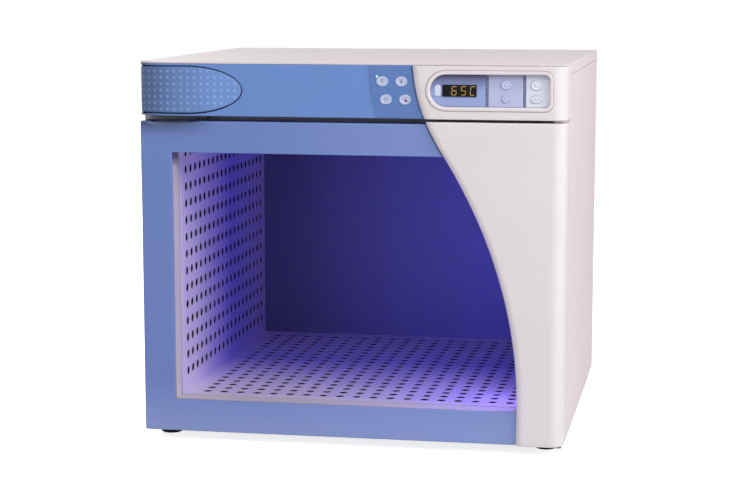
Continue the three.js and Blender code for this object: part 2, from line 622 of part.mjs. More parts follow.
function controlStrip() {
  const z = [-STRIP_HEIGHT, -FIT];
  const right = WIDTH - COVER_STEP - FIT;
  const inside = [z[0] + WALL, z[1] - WALL];
  const skin = [-PAST, SKIN + PAST];
  let strip = planSlab(stripPlan(0, SEAT - FIT, right), z)
    .subtract(planSlab(stripPlan(SKIN, SEAT + PAST, right + PAST), inside))
    .subtract(frontSlab(padOutline(0), [-PAST, SEAT + PAST]))
    .subtract(frontSlab(bezelOutline(BEZEL.rim - BEZEL.collar - FIT), skin))
    .subtract(block(grow(armX, ARM.slot), [magnetY[0] - WALL, SEAT + PAST], [z[0] - PAST, inside[0]]));
  for (const { x, z: height } of keys) {
    strip = strip.subtract(frontSlab(ovalShape(KEY, RUN, x, height), skin));
  }
  return strip;
}

function endCover() {
  const opening = frontSlab(bezelOutline(BEZEL.rim - BEZEL.collar - FIT), [-COVER_PROUD - PAST, 0]);
  const notchX = [PIN_X - HINGE_EDGE.left - PAST, WIDTH - WALL];
  const notchY = [SEAT - HINGE_FLANGE - 2 * PAST, SEAT];
  const notch = block(notchX, notchY, [-STRIP_HEIGHT - PAST, -STRIP_HEIGHT + WALL]);
  return sweptCover(0, [-STRIP_HEIGHT, -FIT], SEAT - FIT).subtract(opening).subtract(notch);
}

function keypadOverlay() {
  const shape = new THREE.Shape();
  const [from, to] = [OVERLAY.margin, STRIP_HEIGHT - OVERLAY.margin];
  const steps = 8;
  const drops = Array.from({ length: steps + 1 }, (_, step) => THREE.MathUtils.lerp(from, to, step / steps));
  shape.moveTo(sweepX(from) - OVERLAY.gap, -from);
  for (const drop of drops) {
    const width = THREE.MathUtils.lerp(OVERLAY.top, OVERLAY.bottom, drop / STRIP_HEIGHT);
    shape.lineTo(sweepX(drop) - width, -drop);
  }
  for (const drop of drops.reverse()) {
    shape.lineTo(sweepX(drop) - OVERLAY.gap, -drop);
  }
  const y = [-FIT - OVERLAY.thickness, -FIT];
  const through = [y[0] - PAST, y[1] + PAST];
  let overlay = frontSlab(shape, y).subtract(rodY(LED.radius + FIT, led.x, through, led.z, 12));
  for (const { x, z } of keys) {
    overlay = overlay.subtract(frontSlab(ovalShape(KEY, RUN, x, z), through));
  }
  return overlay;
}

function makePad() {
  const z = [-STRIP_HEIGHT, 0];
  const right = PAD_TIP + PAST;
  const { x, y, radius } = PAD_PIN;
  const shell = planSlab(stripPlan(0, PAD_REACH, right), z)
    .subtract(planSlab(stripPlan(WALL, PAD_REACH + PAST, right + PAST), z))
    .intersect(frontSlab(padOutline(PAD_GROOVE), [-PAST, SEAT]));
  const lugZ = grow([padMiddle, padMiddle], LUG.halfHeight);
  const lug = block(grow([x, x], LUG.half), [WALL - FIT, y + LUG.behind], lugZ);
  const bore = rodZ(radius + PIN_FIT, x, y, grow(lugZ, PAST), 16);
  piece(head, "release_pad", padBlue, shell.add(lug).subtract(bore));
  const pinZ = [-STRIP_HEIGHT + WALL + FIT, -WALL - 2 * FIT];
  piece(head, "pad_pin", pinSteel, rodZ(radius, x, y, pinZ, 16));
  const upright = block(armX, [ARM.back - ARM.thickness, ARM.back], [magnetTop + FIT, -ARM.top]);
  const reach = block(armX, [WALL + FIT, ARM.back], [-ARM.top - ARM.thickness, -ARM.top]);
  piece(head, "release_arm", blackPlastic, upright.add(reach));
  slab(head, "latch_magnet", darkSteel, magnetX, magnetY, [magnetBottom, magnetTop]);
}

function makeKeypad() {
  piece(head, "keypad_overlay", overlayBlue, keypadOverlay());
  const keyY = [-KEY_PROUD, boardY[0] - KEY_TRAVEL - RUN];
  for (const { name, x, z } of keys) {
    piece(head, name, keyWhite, frontSlab(ovalShape(KEY, 0, x, z), keyY));
  }
  const ledY = [-FIT - OVERLAY.thickness - LED.length / 2, -FIT];
  piece(head, "status_led", ledGreen, rodY(LED.radius, led.x, ledY, led.z, 12));
}

// One controller plate, cut from the bezel's opening, with two push buttons through it.
function controllerPlate(name, material, buttons) {
  const share = PLATE_SHARES[name];
  const x = share.map((part) => THREE.MathUtils.lerp(plateX[0], plateX[1], part));
  const face = frontSlab(bezelOutline(BEZEL.rim + RUN), plateY);
  let plate = face.intersect(block(x, [plateY[0] - PAST, plateY[1] + PAST], [-STRIP_HEIGHT, 0]));
  const buttonY = [plateY[0] - BUTTON_PROUD, trayY[0] - BUTTON_TRAVEL - RUN];
  buttons.forEach((button, index) => {
    const z = THREE.MathUtils.lerp(plateZ[1], plateZ[0], BUTTON_ROWS[index]);
    const across = THREE.MathUtils.lerp(x[0], x[1], BUTTON_SHARES[name]);
    const oval = (gap) => ovalShape(button, gap, across, z);
    plate = plate.subtract(frontSlab(oval(RUN), [plateY[0] - PAST, plateY[1] + PAST]));
    piece(head, `${name}_button_${index + 1}`, functionPale, frontSlab(oval(0), buttonY));
  });
  piece(head, `${name}_plate`, material, plate);
}

function makeController() {
  piece(head, "bezel_ring", whiteMoulding, bezelRing());
  piece(head, "controller_tray", blackPlastic, frontSlab(bezelOutline(BEZEL.rim - BEZEL.collar), trayY));
  controllerPlate("display", displayBlue, []);
  controllerPlate("adjust", adjustLavender, ADJUST_BUTTONS);
  controllerPlate("function", functionPale, FUNCTION_BUTTONS);
  const along = (shares) => shares.map((part) => THREE.MathUtils.lerp(plateX[0], plateX[1], part));
  const displayY = [plateY[0] - FIT - SHEET, plateY[0] - FIT];
  const displayZ = grow([middle(plateZ), middle(plateZ)], DISPLAY.half);
  slab(head, "display_window", blackPlastic, along(DISPLAY.window), displayY, displayZ);
  slab(head, "sensor_lens", whiteMoulding, along(DISPLAY.lens), displayY, displayZ);
  const boardX = [keys[0].x - 2 * KEY.across, bezelX[1] - WALL];
  slab(head, "control_board", boardGreen, boardX, boardY, [bezelZ[0], bezelZ[1]]);
}

// Door
const windowX = [CHAMBER_SIDE, WIDTH - CHAMBER_SIDE];
const windowZ = [RAIL_BOTTOM, DOOR_HEIGHT - RAIL_TOP];
const frameRight = WIDTH - COVER_STEP - PAST;
const glassY = [SKIN + FIT, SKIN + FIT + GLASS];
const backY = [DOOR_THICKNESS - BACK_PLATE, DOOR_THICKNESS];
const wingTop = DOOR_HEIGHT + DOOR_GAP - WING_GAP;

function doorFrame() {
  const plan = (inset, back, right) => {
    const shape = new THREE.Shape();
    shape.moveTo(right, back);
    shape.lineTo(DOOR_INSET + inset, back);
    shape.absarc(DOOR_INSET + DOOR_EDGE, DOOR_EDGE, DOOR_EDGE - inset, Math.PI, 1.5 * Math.PI, false);
    shape.lineTo(right, inset);
    return shape;
  };
  const opening = new THREE.Shape();
  opening.moveTo(windowX[0], windowZ[0]);
  for (let step = 0; step <= SWEEP_STEPS; step++) {
    const height = THREE.MathUtils.lerp(windowZ[0], windowZ[1], step / SWEEP_STEPS);
    opening.lineTo(sweepX(FRONT_HEIGHT - height) + WINDOW_UNDERLAP, height);
  }
  opening.lineTo(windowX[0], windowZ[1]);
  const { left, right, front, back, depth, wall } = POCKET;
  const pocket = (margin, top) =>
    block(grow([left, right], margin), grow([front, back], margin), [DOOR_HEIGHT - depth - margin, top]);
  const shell = planSlab(plan(0, backY[0] - FIT, frameRight), [0, DOOR_HEIGHT])
    .subtract(planSlab(plan(SKIN, DOOR_THICKNESS, frameRight - SKIN), [SKIN, DOOR_HEIGHT - SKIN]));
  return shell
    .add(pocket(wall, DOOR_HEIGHT - PAST))
    .subtract(pocket(0, DOOR_HEIGHT + PAST))
    .subtract(frontSlab(opening, [-PAST, SKIN + PAST]));
}

function doorWing() {
  const ends = [[-PAST, WALL + PAST], [wingTop - WALL - PAST, wingTop + PAST]];
  const hole = (z) => rodZ(PIN_RADIUS + PIN_HOLE, PIN_X, PIN_Y, z, 16);
  return sweptCover(FRONT_HEIGHT, [0, wingTop], DOOR_THICKNESS)
    .subtract(hole(ends[0]))
    .subtract(hole(ends[1]));
}

// Back plate of the door with the reveal that lines the window and the bosses that turn on the pins.
function innerFrame() {
  const side = WIDTH - WALL - FIT;
  const low = WALL + FIT;
  const high = wingTop - WALL - FIT;
  const wide = frontSlab(frameShape([DOOR_INSET, frameRight], [0, DOOR_HEIGHT], windowX, windowZ), backY);
  const edge = block([frameRight - PAST, side], backY, [low, high]);
  const revealY = [glassY[1] + FIT, backY[0] + PAST];
  const reveal = frameShape(grow(windowX, WALL), grow(windowZ, WALL), windowX, windowZ);
  const bossX = [PIN_X + BOSS_HALF - BOSS_WIDTH, PIN_X + BOSS_HALF];
  const bossY = [PIN_Y - BOSS_HALF, backY[0] + PAST];
  const bore = (z) => rodZ(PIN_RADIUS + PIN_FIT, PIN_X, PIN_Y, z);
  return wide.add(edge)
    .add(frontSlab(reveal, revealY))
    .add(block(bossX, bossY, [low, low + BOSS_HEIGHT]))
    .add(block(bossX, bossY, [high - BOSS_HEIGHT, high]))
    .subtract(bore([low - PAST, PIN_DEPTH + PAST]))
    .subtract(bore([wingTop - PIN_DEPTH - PAST, high + PAST]));
}

function makeDoor() {
  piece(door, "door_frame", doorBlue, doorFrame());
  piece(door, "door_wing", whiteMoulding, doorWing());
  piece(door, "door_inner_frame", revealGrey, innerFrame());
  slab(door, "door_glass", paneGlass, grow(windowX, GLASS_HOLD), glassY, grow(windowZ, GLASS_HOLD));
  const chamberZ = [FLOOR_Z - FOOT_HEIGHT, CEILING_Z - FOOT_HEIGHT];
  const innerX = grow(windowX, GASKET_MARGIN);
  const innerZ = grow(chamberZ, GASKET_MARGIN);
  const ring = frameShape(grow(innerX, GASKET_WIDTH), grow(innerZ, GASKET_WIDTH), innerX, innerZ);
  piece(door, "door_gasket", greyRubber, frontSlab(ring, [DOOR_THICKNESS + FIT, SEAT - FIT]));
  const strikeZ = [DOOR_HEIGHT + FIT, DOOR_HEIGHT + FIT + STRIKE.thickness];
  slab(door, "strike_plate", pinSteel, magnetX, magnetY, strikeZ);
}

makeCasing();
makeChamber();
makeAirSystem();
makeElectrics();
piece(head, "control_strip", stripBlue, controlStrip());
piece(head, "end_cover", whiteMoulding, endCover());
makePad();
makeKeypad();
makeController();
makeDoor();

export default cabinet;
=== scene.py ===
"""Looks of a bench-top blanket warming cabinet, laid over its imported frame.

Sizes are in metres on the frame's own axes: +X to the right, +Y to the back, +Z up from the floor.
"""
import math

import bmesh
import bpy
import numpy as np
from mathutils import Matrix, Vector


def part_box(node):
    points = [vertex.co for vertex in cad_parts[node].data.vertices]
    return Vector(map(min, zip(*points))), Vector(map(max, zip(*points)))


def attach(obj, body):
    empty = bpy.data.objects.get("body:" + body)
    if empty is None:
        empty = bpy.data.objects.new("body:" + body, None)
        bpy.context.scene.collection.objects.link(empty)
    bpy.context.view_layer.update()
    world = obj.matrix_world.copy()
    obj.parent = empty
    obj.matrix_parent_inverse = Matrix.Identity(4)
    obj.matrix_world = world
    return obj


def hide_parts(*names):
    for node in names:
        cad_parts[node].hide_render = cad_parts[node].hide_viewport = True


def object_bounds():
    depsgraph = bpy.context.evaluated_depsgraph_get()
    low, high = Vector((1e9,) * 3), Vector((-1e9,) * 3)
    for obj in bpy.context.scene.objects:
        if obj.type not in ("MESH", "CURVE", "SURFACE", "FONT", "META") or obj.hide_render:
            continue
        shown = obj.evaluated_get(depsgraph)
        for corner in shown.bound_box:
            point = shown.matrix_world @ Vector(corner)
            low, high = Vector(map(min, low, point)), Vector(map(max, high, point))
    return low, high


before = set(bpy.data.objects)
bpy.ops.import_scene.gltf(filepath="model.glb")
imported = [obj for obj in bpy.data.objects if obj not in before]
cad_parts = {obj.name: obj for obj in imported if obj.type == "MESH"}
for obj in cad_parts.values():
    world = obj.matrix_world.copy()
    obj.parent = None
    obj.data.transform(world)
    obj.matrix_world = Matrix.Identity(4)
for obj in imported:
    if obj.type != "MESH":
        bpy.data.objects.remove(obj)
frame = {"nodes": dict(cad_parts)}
CAD_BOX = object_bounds()

bl_info = {
    "name": "Blanket warming cabinet",
    "version": (1, 0, 0),
    "blender": (4, 5, 0),
    "location": "View3D > Sidebar > Cabinet",
    "description": "Shells, perforated liners, controls and finishes of a blanket warming cabinet",
    "category": "Object",
}

MM = 0.001
FIT = 0.3 * MM
QUARTER = math.pi / 2
FRONT = (0, -1, 0)
CREASE = 35.0
WINDOW_LIP = 1.2 * MM
RAISED = "raised"


# Places read from the frame
def box(node):
    """Lowest and highest corner of a node at rest, as two arrays."""
    low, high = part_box(node)
    return np.array(low), np.array(high)


def front_oval(node):
    """Middle across and up, and half width and height, of a node seen from the front."""
    low, high = box(node)
    return *((low + high) / 2)[[0, 2]], *((high - low) / 2)[[0, 2]]


STRIP = box("control_strip")
COVER = box("end_cover")
WING = box("door_wing")
DOOR = box("door_frame")
PAD = box("release_pad")
BEZEL = box("bezel_ring")
WIDTH = CAD_BOX[1].x - CAD_BOX[0].x
LEFT = STRIP[0][0]
RIGHT = LEFT + WIDTH
FACE_Y = DOOR[0][1]
WHITE_Y = COVER[0][1]
FRONT_TOP = STRIP[1][2] + FIT
FRONT_LOW = DOOR[0][2]
STRIP_MIDDLE = (STRIP[0][2] + STRIP[1][2]) / 2
CHAMBER_LOW = np.array([box("liner_left")[1][0], box("liner_left")[0][1], box("chamber_floor")[1][2]])
CHAMBER_HIGH = np.array([box("liner_right")[0][0], box("liner_back")[0][1], box("chamber_ceiling")[0][2]])

# The swept edge as shares of the width and of the front's height, from the top left
SWEEP = [(0.6494, 0), (0.6534, 0.083), (0.6755, 0.154), (0.7188, 0.233)]
SWEEP += [(0.8019, 0.386), (0.891, 0.605), (0.8925, 0.8926), (0.8914, 1)]


# Sizes and colours that a user would change
def linear(red, green, blue):
    """Linear colour of three numbers from 0 to 255, by the standard display curve."""
    share = np.array([red, green, blue]) / 255
    curved = np.where(share <= 0.04045, share / 12.92, ((share + 0.055) / 1.055) ** 2.4)
    return tuple(float(part) for part in curved)


def length(label, note, millimetres):
    """A property that holds a length."""
    return bpy.props.FloatProperty(
        name=label, description=note, subtype="DISTANCE", unit="LENGTH", min=0, default=millimetres * MM
    )


def colour(label, note, *rgb):
    """A property that holds a colour."""
    return bpy.props.FloatVectorProperty(
        name=label, description=note, subtype="COLOR", size=3, min=0, max=1, default=linear(*rgb)
    )


class CabinetSizes(bpy.types.PropertyGroup):
    """Sizes of what the looks add to the frame."""

    cover_end: length("Cover end radius", "Rounding of the white covers at the right-hand side", 24)
    cover_turn: length("Cover turn", "Width of the white covers' rounding along the swept edge", 12.5)
    cover_lip: length("Cover lip radius", "Small rounding of the covers' top and bottom edges", 1.6)
    cover_wall: length("Cover wall", "Wall of the white covers and of the strip", 1.4)
    # Painted shade: width of the navy strip drawn in the groove between the blue and the white
    groove_shade: length("Edge seal", "Width of the seal between the blue and the white", 3.0)
    strip_end: length("Strip end width", "Width of the elliptic left end of the strip", 60)
    strip_turn: length("Strip end depth", "Depth of the elliptic left end of the strip", 28)
    strip_lip: length("Strip lip radius", "Rounding of the strip's top and bottom edges", 1.5)
    pad_rim: length("Pad rim", "Strip left above and below the push pad", 3)
    pad_groove: length("Pad groove", "Open groove round the push pad", 2)
    pad_straight: length("Pad straight", "Straight stretch of the pad's outline", 90)
    pad_tip: length("Pad tip", "Left side of the cabinet to the tip of the pad's opening", 193)
    dot_pitch: length("Dot pitch", "Spacing of the raised dots along the push pad", 12.2)
    dot_row: length("Dot row", "Spacing of the rows of dots", 11.2)
    dot_radius: length("Dot radius", "Radius of a raised dot", 3.9)
    dot_height: length("Dot height", "Height of a raised dot", 1.0)
    door_edge: length("Door edge", "Rounding of the blue door frame's edges", 2.6)
    door_scoop: length("Door scoop", "Larger rounding of the door's top edge where fingers reach in", 11)
    pocket_depth: length("Pocket depth", "Depth of the finger pocket in the door's top edge", 14)
    hole_pitch: length("Hole pitch", "Spacing of the round holes in the liners", 31)
    hole_radius: length("Hole radius", "Radius of the holes in the liners", 8.0)
    sheet: length("Sheet", "Thickness of the perforated sheets", 0.8)
    lining: length("Side lining", "Thickness of the faced insulation inside the side panels", 14)
    bezel_rim: length("Bezel rim", "Width of the rim round the controller", 6.5)
    bezel_corner: length("Bezel corner", "Radius of the controller's right-hand corners", 15)
    edge: length("Edge rounding", "Rounding of folded steel and small moulded pieces", 0.8)


class CabinetColours(bpy.types.PropertyGroup):
    """Colours of the finishes."""

    enamel: colour("Casing", "Powder-coated steel", 228, 217, 219)
    frame: colour("Front frame", "Enamel of the frame behind the door", 226, 221, 227)
    moulding: colour("Covers", "White moulded covers", 228, 221, 223)
    strip: colour("Strip", "Blue of the control strip", 106, 142, 206)
    pad: colour("Pad", "Blue of the push pad", 122, 158, 221)
    door: colour("Door", "Blue of the door frame", 109, 132, 195)
    # Painted light: the paler blue of the door's bottom rail and right-hand part, where more light would fall
    door_low: colour("Door, low", "Paler blue along the bottom of the door frame", 136, 153, 206)
    overlay: colour("Keypad", "Darker blue of the keypad sheet", 92, 126, 188)
    key: colour("Keys", "Pale lavender of the keys", 190, 199, 228)
    mark: colour("Key marks", "Grey print on the keys", 112, 120, 158)
    signal: colour("Signal", "Red spot on one key", 150, 44, 74)
    display: colour("Display plate", "Blue plate behind the display", 148, 164, 212)
    # Painted shade: the display plate's top, where the bezel's recess shades it
    display_top: colour("Display plate, top", "Darker top of the display plate", 78, 76, 114)
    adjust: colour("Adjusting plate", "Lavender plate with two buttons", 184, 188, 224)
    # Painted shade: the adjusting plate's top, where the bezel's recess shades it
    adjust_top: colour("Adjusting plate, top", "Darker top of the adjusting plate", 160, 162, 194)
    release: colour("Release arm", "Grey of the release arm and its magnet", 104, 102, 108)
    tray: colour("Controller tray", "Slate blue behind the controller plates", 138, 144, 180)
    function: colour("Function plate", "Pale plate with two buttons, and the buttons", 220, 222, 236)
    # Painted shade: the function plate's top, where the bezel's recess shades it
    function_top: colour("Function plate, top", "Darker top of the function plate", 202, 204, 218)
    button: colour("Adjusting buttons", "Pale lavender of the adjusting plate's buttons", 190, 195, 229)
    digits: colour("Digits", "Amber of the lit digits", 188, 146, 70)
    lens: colour("Sensor lens", "Bluish white of the sensor's lens", 208, 216, 238)
    led: colour("Status light", "Green of the status light", 170, 242, 208)
    reveal: colour("Reveal", "Grey lining of the door's window", 227, 218, 206)
    # Painted light: the liner steel's colours from the door to the back stand for the light from the door and
    # the violet lamp
    liner_front: colour("Liner front", "Liner steel near the door", 246, 234, 246)
    liner_middle: colour("Liner middle", "Liner steel half-way back", 162, 146, 234)
    liner_back: colour("Liner back", "Liner steel at the back", 222, 208, 242)
    # Painted light and shade: the back wall darker on the left, brighter towards the lamp on the right
    back_dark: colour("Back wall, left", "Left side of the chamber's back wall", 64, 54, 126)
    back_light: colour("Back wall, right", "Right side of the chamber's back wall", 112, 110, 216)
    lamp: colour("Lamp", "Violet light of the chamber lamp", 128, 106, 255)
    galvanised: colour("Galvanised steel", "Duct, power supply and base pan", 178, 182, 186)
    dark_steel: colour("Dark steel", "Hinge, strike plate, lamp housing, motor and heaters", 74, 75, 80)
    bright_steel: colour("Bright steel", "Screws, pin, probe and fan wheel", 196, 198, 202)
    black: colour("Black plastic", "Inlet, thermostat and display window", 24, 24, 28)
    rubber: colour("Black rubber", "Feet", 22, 22, 23)
    grey_rubber: colour("Grey rubber", "Door gasket", 120, 112, 116)
    # Painted shade: colour of the navy strip drawn in the groove between the blue and the white
    groove_shade: colour("Edge seal", "Navy seal between the blue and the white", 68, 82, 126)
    seal: colour("Bezel seal", "Tan seal under the controller's bezel", 178, 150, 142)
    wool: colour("Insulation", "Mineral wool", 205, 191, 142)
    # Painted shade: the facing is near black so that the holes in the liners show the shade of the cavity
    # behind them
    facing: colour("Insulation facing", "Black facing of the insulation round the chamber", 24, 23, 28)
    board: colour("Circuit board", "Green circuit board", 31, 90, 58)
    floor: colour("Floor", "Pale studio floor", 236, 236, 238)


def sizes():
    """The scene's size settings."""
    return bpy.context.scene.cabinet_sizes


def colours():
    """The scene's colour settings."""
    return bpy.context.scene.cabinet_colours


# Grids and outlines
def grid_faces(rows, columns, wrap_rows=False, wrap_columns=False):
    """Quads between neighbouring rows and columns of a grid of points, four indices each."""
    row, column = np.meshgrid(
        np.arange(rows if wrap_rows else rows - 1),
        np.arange(columns if wrap_columns else columns - 1),
        indexing="ij",
    )
    next_row, next_column = (row + 1) % rows, (column + 1) % columns
    corners = [(row, column), (row, next_column), (next_row, next_column), (next_row, column)]
    return np.stack([a * columns + b for a, b in corners], -1).reshape(-1, 4)


def flat_grid(across, up):
    """Points of a flat grid, row by row, and its quads."""
    points = np.stack(np.meshgrid(across, up, indexing="xy"), -1)
    return points.reshape(-1, 2), grid_faces(len(up), len(across))


def full_turn(steps):
    """Angles spaced evenly round a circle."""
    return np.linspace(0, 2 * math.pi, steps, endpoint=False)


def directions(angle):
    """Unit vectors at an array of angles: cosine and sine side by side."""
    return np.stack([np.cos(angle), np.sin(angle)], -1)


def unit(vectors):
    """Vectors divided by their lengths."""
    return vectors / np.linalg.norm(vectors, axis=-1, keepdims=True)


def smooth_step(value, low, high):
    """0 below low, 1 above high and 3t^2 - 2t^3 between."""
    share = np.clip((value - low) / (high - low), 0, 1)
    return share * share * (3 - 2 * share)


def hump(value, rise, fall):
    """A smooth step up between two places and a smooth step down between two others."""
    return smooth_step(value, *rise) * (1 - smooth_step(value, *fall))


def above_zero(value):
    """A value kept clear of zero, to divide by."""
    return np.maximum(value, 1e-3)


def edge_fall(distance, radius):
    """How far a surface has fallen on a quarter circle at a distance from its edge."""
    short = np.clip(radius - distance, 0, radius)
    return radius - np.sqrt(radius**2 - short**2)


def along_line(way, passed, line):
    """Flat points at a way along a line, given how far along it each of its own points is."""
    return np.stack([np.interp(way, passed, part) for part in line.T], -1)


def cubic(a, b, c, d, steps=80):
    """A Bezier curve: four points weighted by the terms of ((1 - t) + t)^3."""
    t = np.linspace(0, 1, steps)[:, None]
    return (1 - t) ** 3 * a + 3 * (1 - t) ** 2 * t * b + 3 * (1 - t) * t**2 * c + t**3 * d


def sweep_x(height):
    """Edge between the blue and the white, read off by height: two cubic curves and a straight tail."""
    points = np.array(SWEEP) * (WIDTH, FRONT_TOP - FRONT_LOW)
    line = np.vstack([cubic(*points[:4]), cubic(*points[3:7]), points[7:]])
    return LEFT + np.interp(FRONT_TOP - np.asarray(height), line[:, 1], line[:, 0])


def rounded_box(x, z, radii, steps=9):
    """Outline of a box with a radius at each corner, anticlockwise from the lower left, and its normals."""
    outline, normals = [], []
    for index, radius in enumerate(radii):
        right, upper = index in (1, 2), index in (2, 3)
        normal = directions(math.pi + index * QUARTER + np.linspace(0, QUARTER, steps))
        centre = (x[1] - radius if right else x[0] + radius, z[1] - radius if upper else z[0] + radius)
        outline.append(centre + radius * normal)
        normals.append(normal)
    return np.vstack(outline), np.vstack(normals)


def oval(x, z, half_width, half_height, steps=40):
    """Outline of an ellipse and its outward normals, from the gradient of its equation."""
    half = np.array([half_width, half_height])
    ring = directions(full_turn(steps))
    return np.array([x, z]) + half * ring, unit(ring / half)


def on_front(flat, depth):
    """Points from places across and up the front and how deep each lies."""
    return np.stack([flat[..., 0], np.broadcast_to(depth, flat.shape[:-1]), flat[..., 1]], -1).reshape(-1, 3)


def carry(outline, normals, profile, closed=False):
    """Carries a profile round a closed outline on the front.

    A profile point is an inset from the outline and a depth; unless the profile closes on itself, its last
    row is drawn together at the outline's middle, so that the front is filled.
    """
    inset, depth = np.array(profile).T
    across = outline - inset[:, None, None] * normals
    if not closed:
        across = np.concatenate([across, np.broadcast_to(outline.mean(0), across[:1].shape)])
        depth = np.append(depth, depth[-1])
    faces = grid_faces(len(depth), len(outline), wrap_rows=closed, wrap_columns=True)
    return on_front(across, depth[:, None]), faces


def rounded_edge(front, back, radius, steps=5):
    """Profile of a slab: straight from the back, then a quarter circle on to the front."""
    angle = np.linspace(0, QUARTER, steps)
    turn = np.stack([radius * (1 - np.cos(angle)), front + radius * (1 - np.sin(angle))], -1)
    return [(0.0, back), *map(tuple, turn)]


def turned(x, y, profile, steps=40):
    """Turns a profile of radius and height about an upright axis; a radius of 0 closes an end."""
    radius, height = np.array(profile).T
    flat = np.array([x, y]) + radius[:, None, None] * directions(full_turn(steps))
    up = np.broadcast_to(height[:, None, None], (*flat.shape[:2], 1))
    return np.concatenate([flat, up], -1).reshape(-1, 3), grid_faces(len(height), steps, wrap_columns=True)


def punch(flat, faces, outline):
    """Cuts an opening out of a grid of points in a plane.

    Faces whose middle lies inside the outline, where its function is below zero, are left out. Points on the
    ragged edge then slide along the function's slope until it is zero.
    """
    inside = outline(flat[faces].mean(1)) < 0
    kept = faces[~inside]
    edge = np.intersect1d(faces[inside], kept)
    probe, longest, least_slope = 0.01 * MM, 1.5 * MM, 0.1
    moved = flat.copy()
    for _ in range(4):
        here = moved[edge]
        sides = [outline(here + side) - outline(here - side) for side in probe * np.eye(2)]
        slope = np.stack(sides, -1) / (2 * probe)
        step = outline(here) / np.maximum((slope**2).sum(1), least_slope)
        moved[edge] = here - np.clip(step[:, None] * slope, -longest, longest)
    return moved, kept


def cut_out(flat, faces, outline):
    """The part of a grid that lies inside an outline, with only the points that it uses."""
    flat, faces = punch(flat, faces, lambda spots: -outline(spots))
    used, faces = np.unique(faces, return_inverse=True)
    return flat[used], faces.reshape(-1, 4)


def join(*parts):
    """Several sets of points and faces as one."""
    offsets = np.cumsum([0] + [len(points) for points, _ in parts[:-1]])
    points = np.vstack([points for points, _ in parts])
    return points, np.vstack([faces + offset for (_, faces), offset in zip(parts, offsets)])


# Pieces
def facing(points, faces):
    """Sum of the faces' area vectors and six times the volume that they enclose, by cross products."""
    a, b, c, d = (points[faces[:, index]] for index in range(4))
    area = np.cross(c - a, d - b)
    return area.sum(0), (a * np.cross(b, c)).sum() + (a * np.cross(c, d)).sum()


def looking(shape, direction):
    """An open sheet with its faces turned so that, on the whole, they look in a direction."""
    points, faces = shape
    area, _ = facing(points, faces)
    return points, faces if area @ np.array(direction, float) > 0 else faces[:, ::-1]


def solid(shape):
    """A closed shape with its faces turned outwards, where its volume is positive."""
    points, faces = shape
    _, volume = facing(points, faces)
    return points, faces if volume > 0 else faces[:, ::-1]


def linked(name, data):
    """A new object of the scene, at the origin."""
    made = bpy.data.objects.new(name, data)
    bpy.context.scene.collection.objects.link(made)
    return made


def weld(mesh, flatten=False):
    """Merges a mesh's doubled points, then joins the triangles of its flat faces or drops empty edges."""
    doubled, empty, level = 1e-6, 1e-7, math.radians(0.5)
    work = bmesh.new()
    work.from_mesh(mesh)
    bmesh.ops.remove_doubles(work, verts=work.verts, dist=doubled)
    if flatten:
        bmesh.ops.dissolve_limit(work, angle_limit=level, verts=work.verts, edges=work.edges)
    else:
        bmesh.ops.dissolve_degenerate(work, edges=work.edges, dist=empty)
    work.to_mesh(mesh)
    work.free()


def crease_edges(mesh, crease):
    """Smooths a mesh but keeps sharp the edges past the crease angle in degrees."""
    mesh.shade_smooth()
    mesh.set_sharp_from_angle(angle=math.radians(crease))


def harden_rim(mesh):
    """Makes sharp the edges that only one face uses."""
    sharp = np.empty(len(mesh.edges), bool)
    mesh.edges.foreach_get("use_edge_sharp", sharp)
    used = np.empty(len(mesh.loops), np.int32)
    mesh.loops.foreach_get("edge_index", used)
    mesh.edges.foreach_set("use_edge_sharp", sharp | (np.bincount(used, minlength=len(sharp)) == 1))


def add_object(name, points, faces, crease=CREASE, values=None):
    """A mesh object at the origin, smooth up to the crease angle in degrees.

    Values, one for each point, are kept as the mesh's own attribute.
    """
    mesh = bpy.data.meshes.new(name)
    mesh.from_pydata(points.tolist(), [], faces.tolist())
    if values is not None:
        mesh.attributes.new(RAISED, "FLOAT", "POINT").data.foreach_set("value", values)
    weld(mesh)
    crease_edges(mesh, crease)
    harden_rim(mesh)
    return linked(name, mesh)


def settle(piece, material, body, node=None):
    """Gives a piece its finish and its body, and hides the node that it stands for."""
    piece.data.materials.clear()
    piece.data.materials.append(material)
    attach(piece, body)
    if node:
        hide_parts(node)


def make(name, shape, material, body, node=None, wall=0.0, crease=CREASE, values=None):
    """A piece from points and faces; with a wall, the sheet is thickened behind its face."""
    piece = add_object(name, *shape, crease, values)
    if wall:
        thick = piece.modifiers.new("wall", "SOLIDIFY")
        thick.thickness = wall
        thick.offset = -1
        thick.use_even_offset = True
    settle(piece, material, body, node)


def softened(node, material, body, width=None, segments=2):
    """A copy of a node with its triangles joined into flat faces and its hard edges rounded."""
    source = frame["nodes"][node].data
    points = np.empty(len(source.vertices) * 3)
    source.vertices.foreach_get("co", points)
    corners = np.empty(len(source.loops), int)
    source.loops.foreach_get("vertex_index", corners)
    mesh = bpy.data.meshes.new(node + "_shell")
    mesh.from_pydata(points.reshape(-1, 3).tolist(), [], corners.reshape(-1, 3).tolist())
    weld(mesh, flatten=True)
    crease_edges(mesh, CREASE)
    piece = linked(node + "_shell", mesh)
    bevel = piece.modifiers.new("rounding", "BEVEL")
    bevel.width = width or sizes().edge
    bevel.segments = segments
    bevel.limit_method = "ANGLE"
    bevel.angle_limit = math.radians(40)
    bevel.harden_normals = True
    settle(piece, material, body, node)


def dress(material, *nodes):
    """Puts a finish on nodes that keep their own shape."""
    for node in nodes:
        frame["nodes"][node].data.materials.clear()
        frame["nodes"][node].data.materials.append(material)


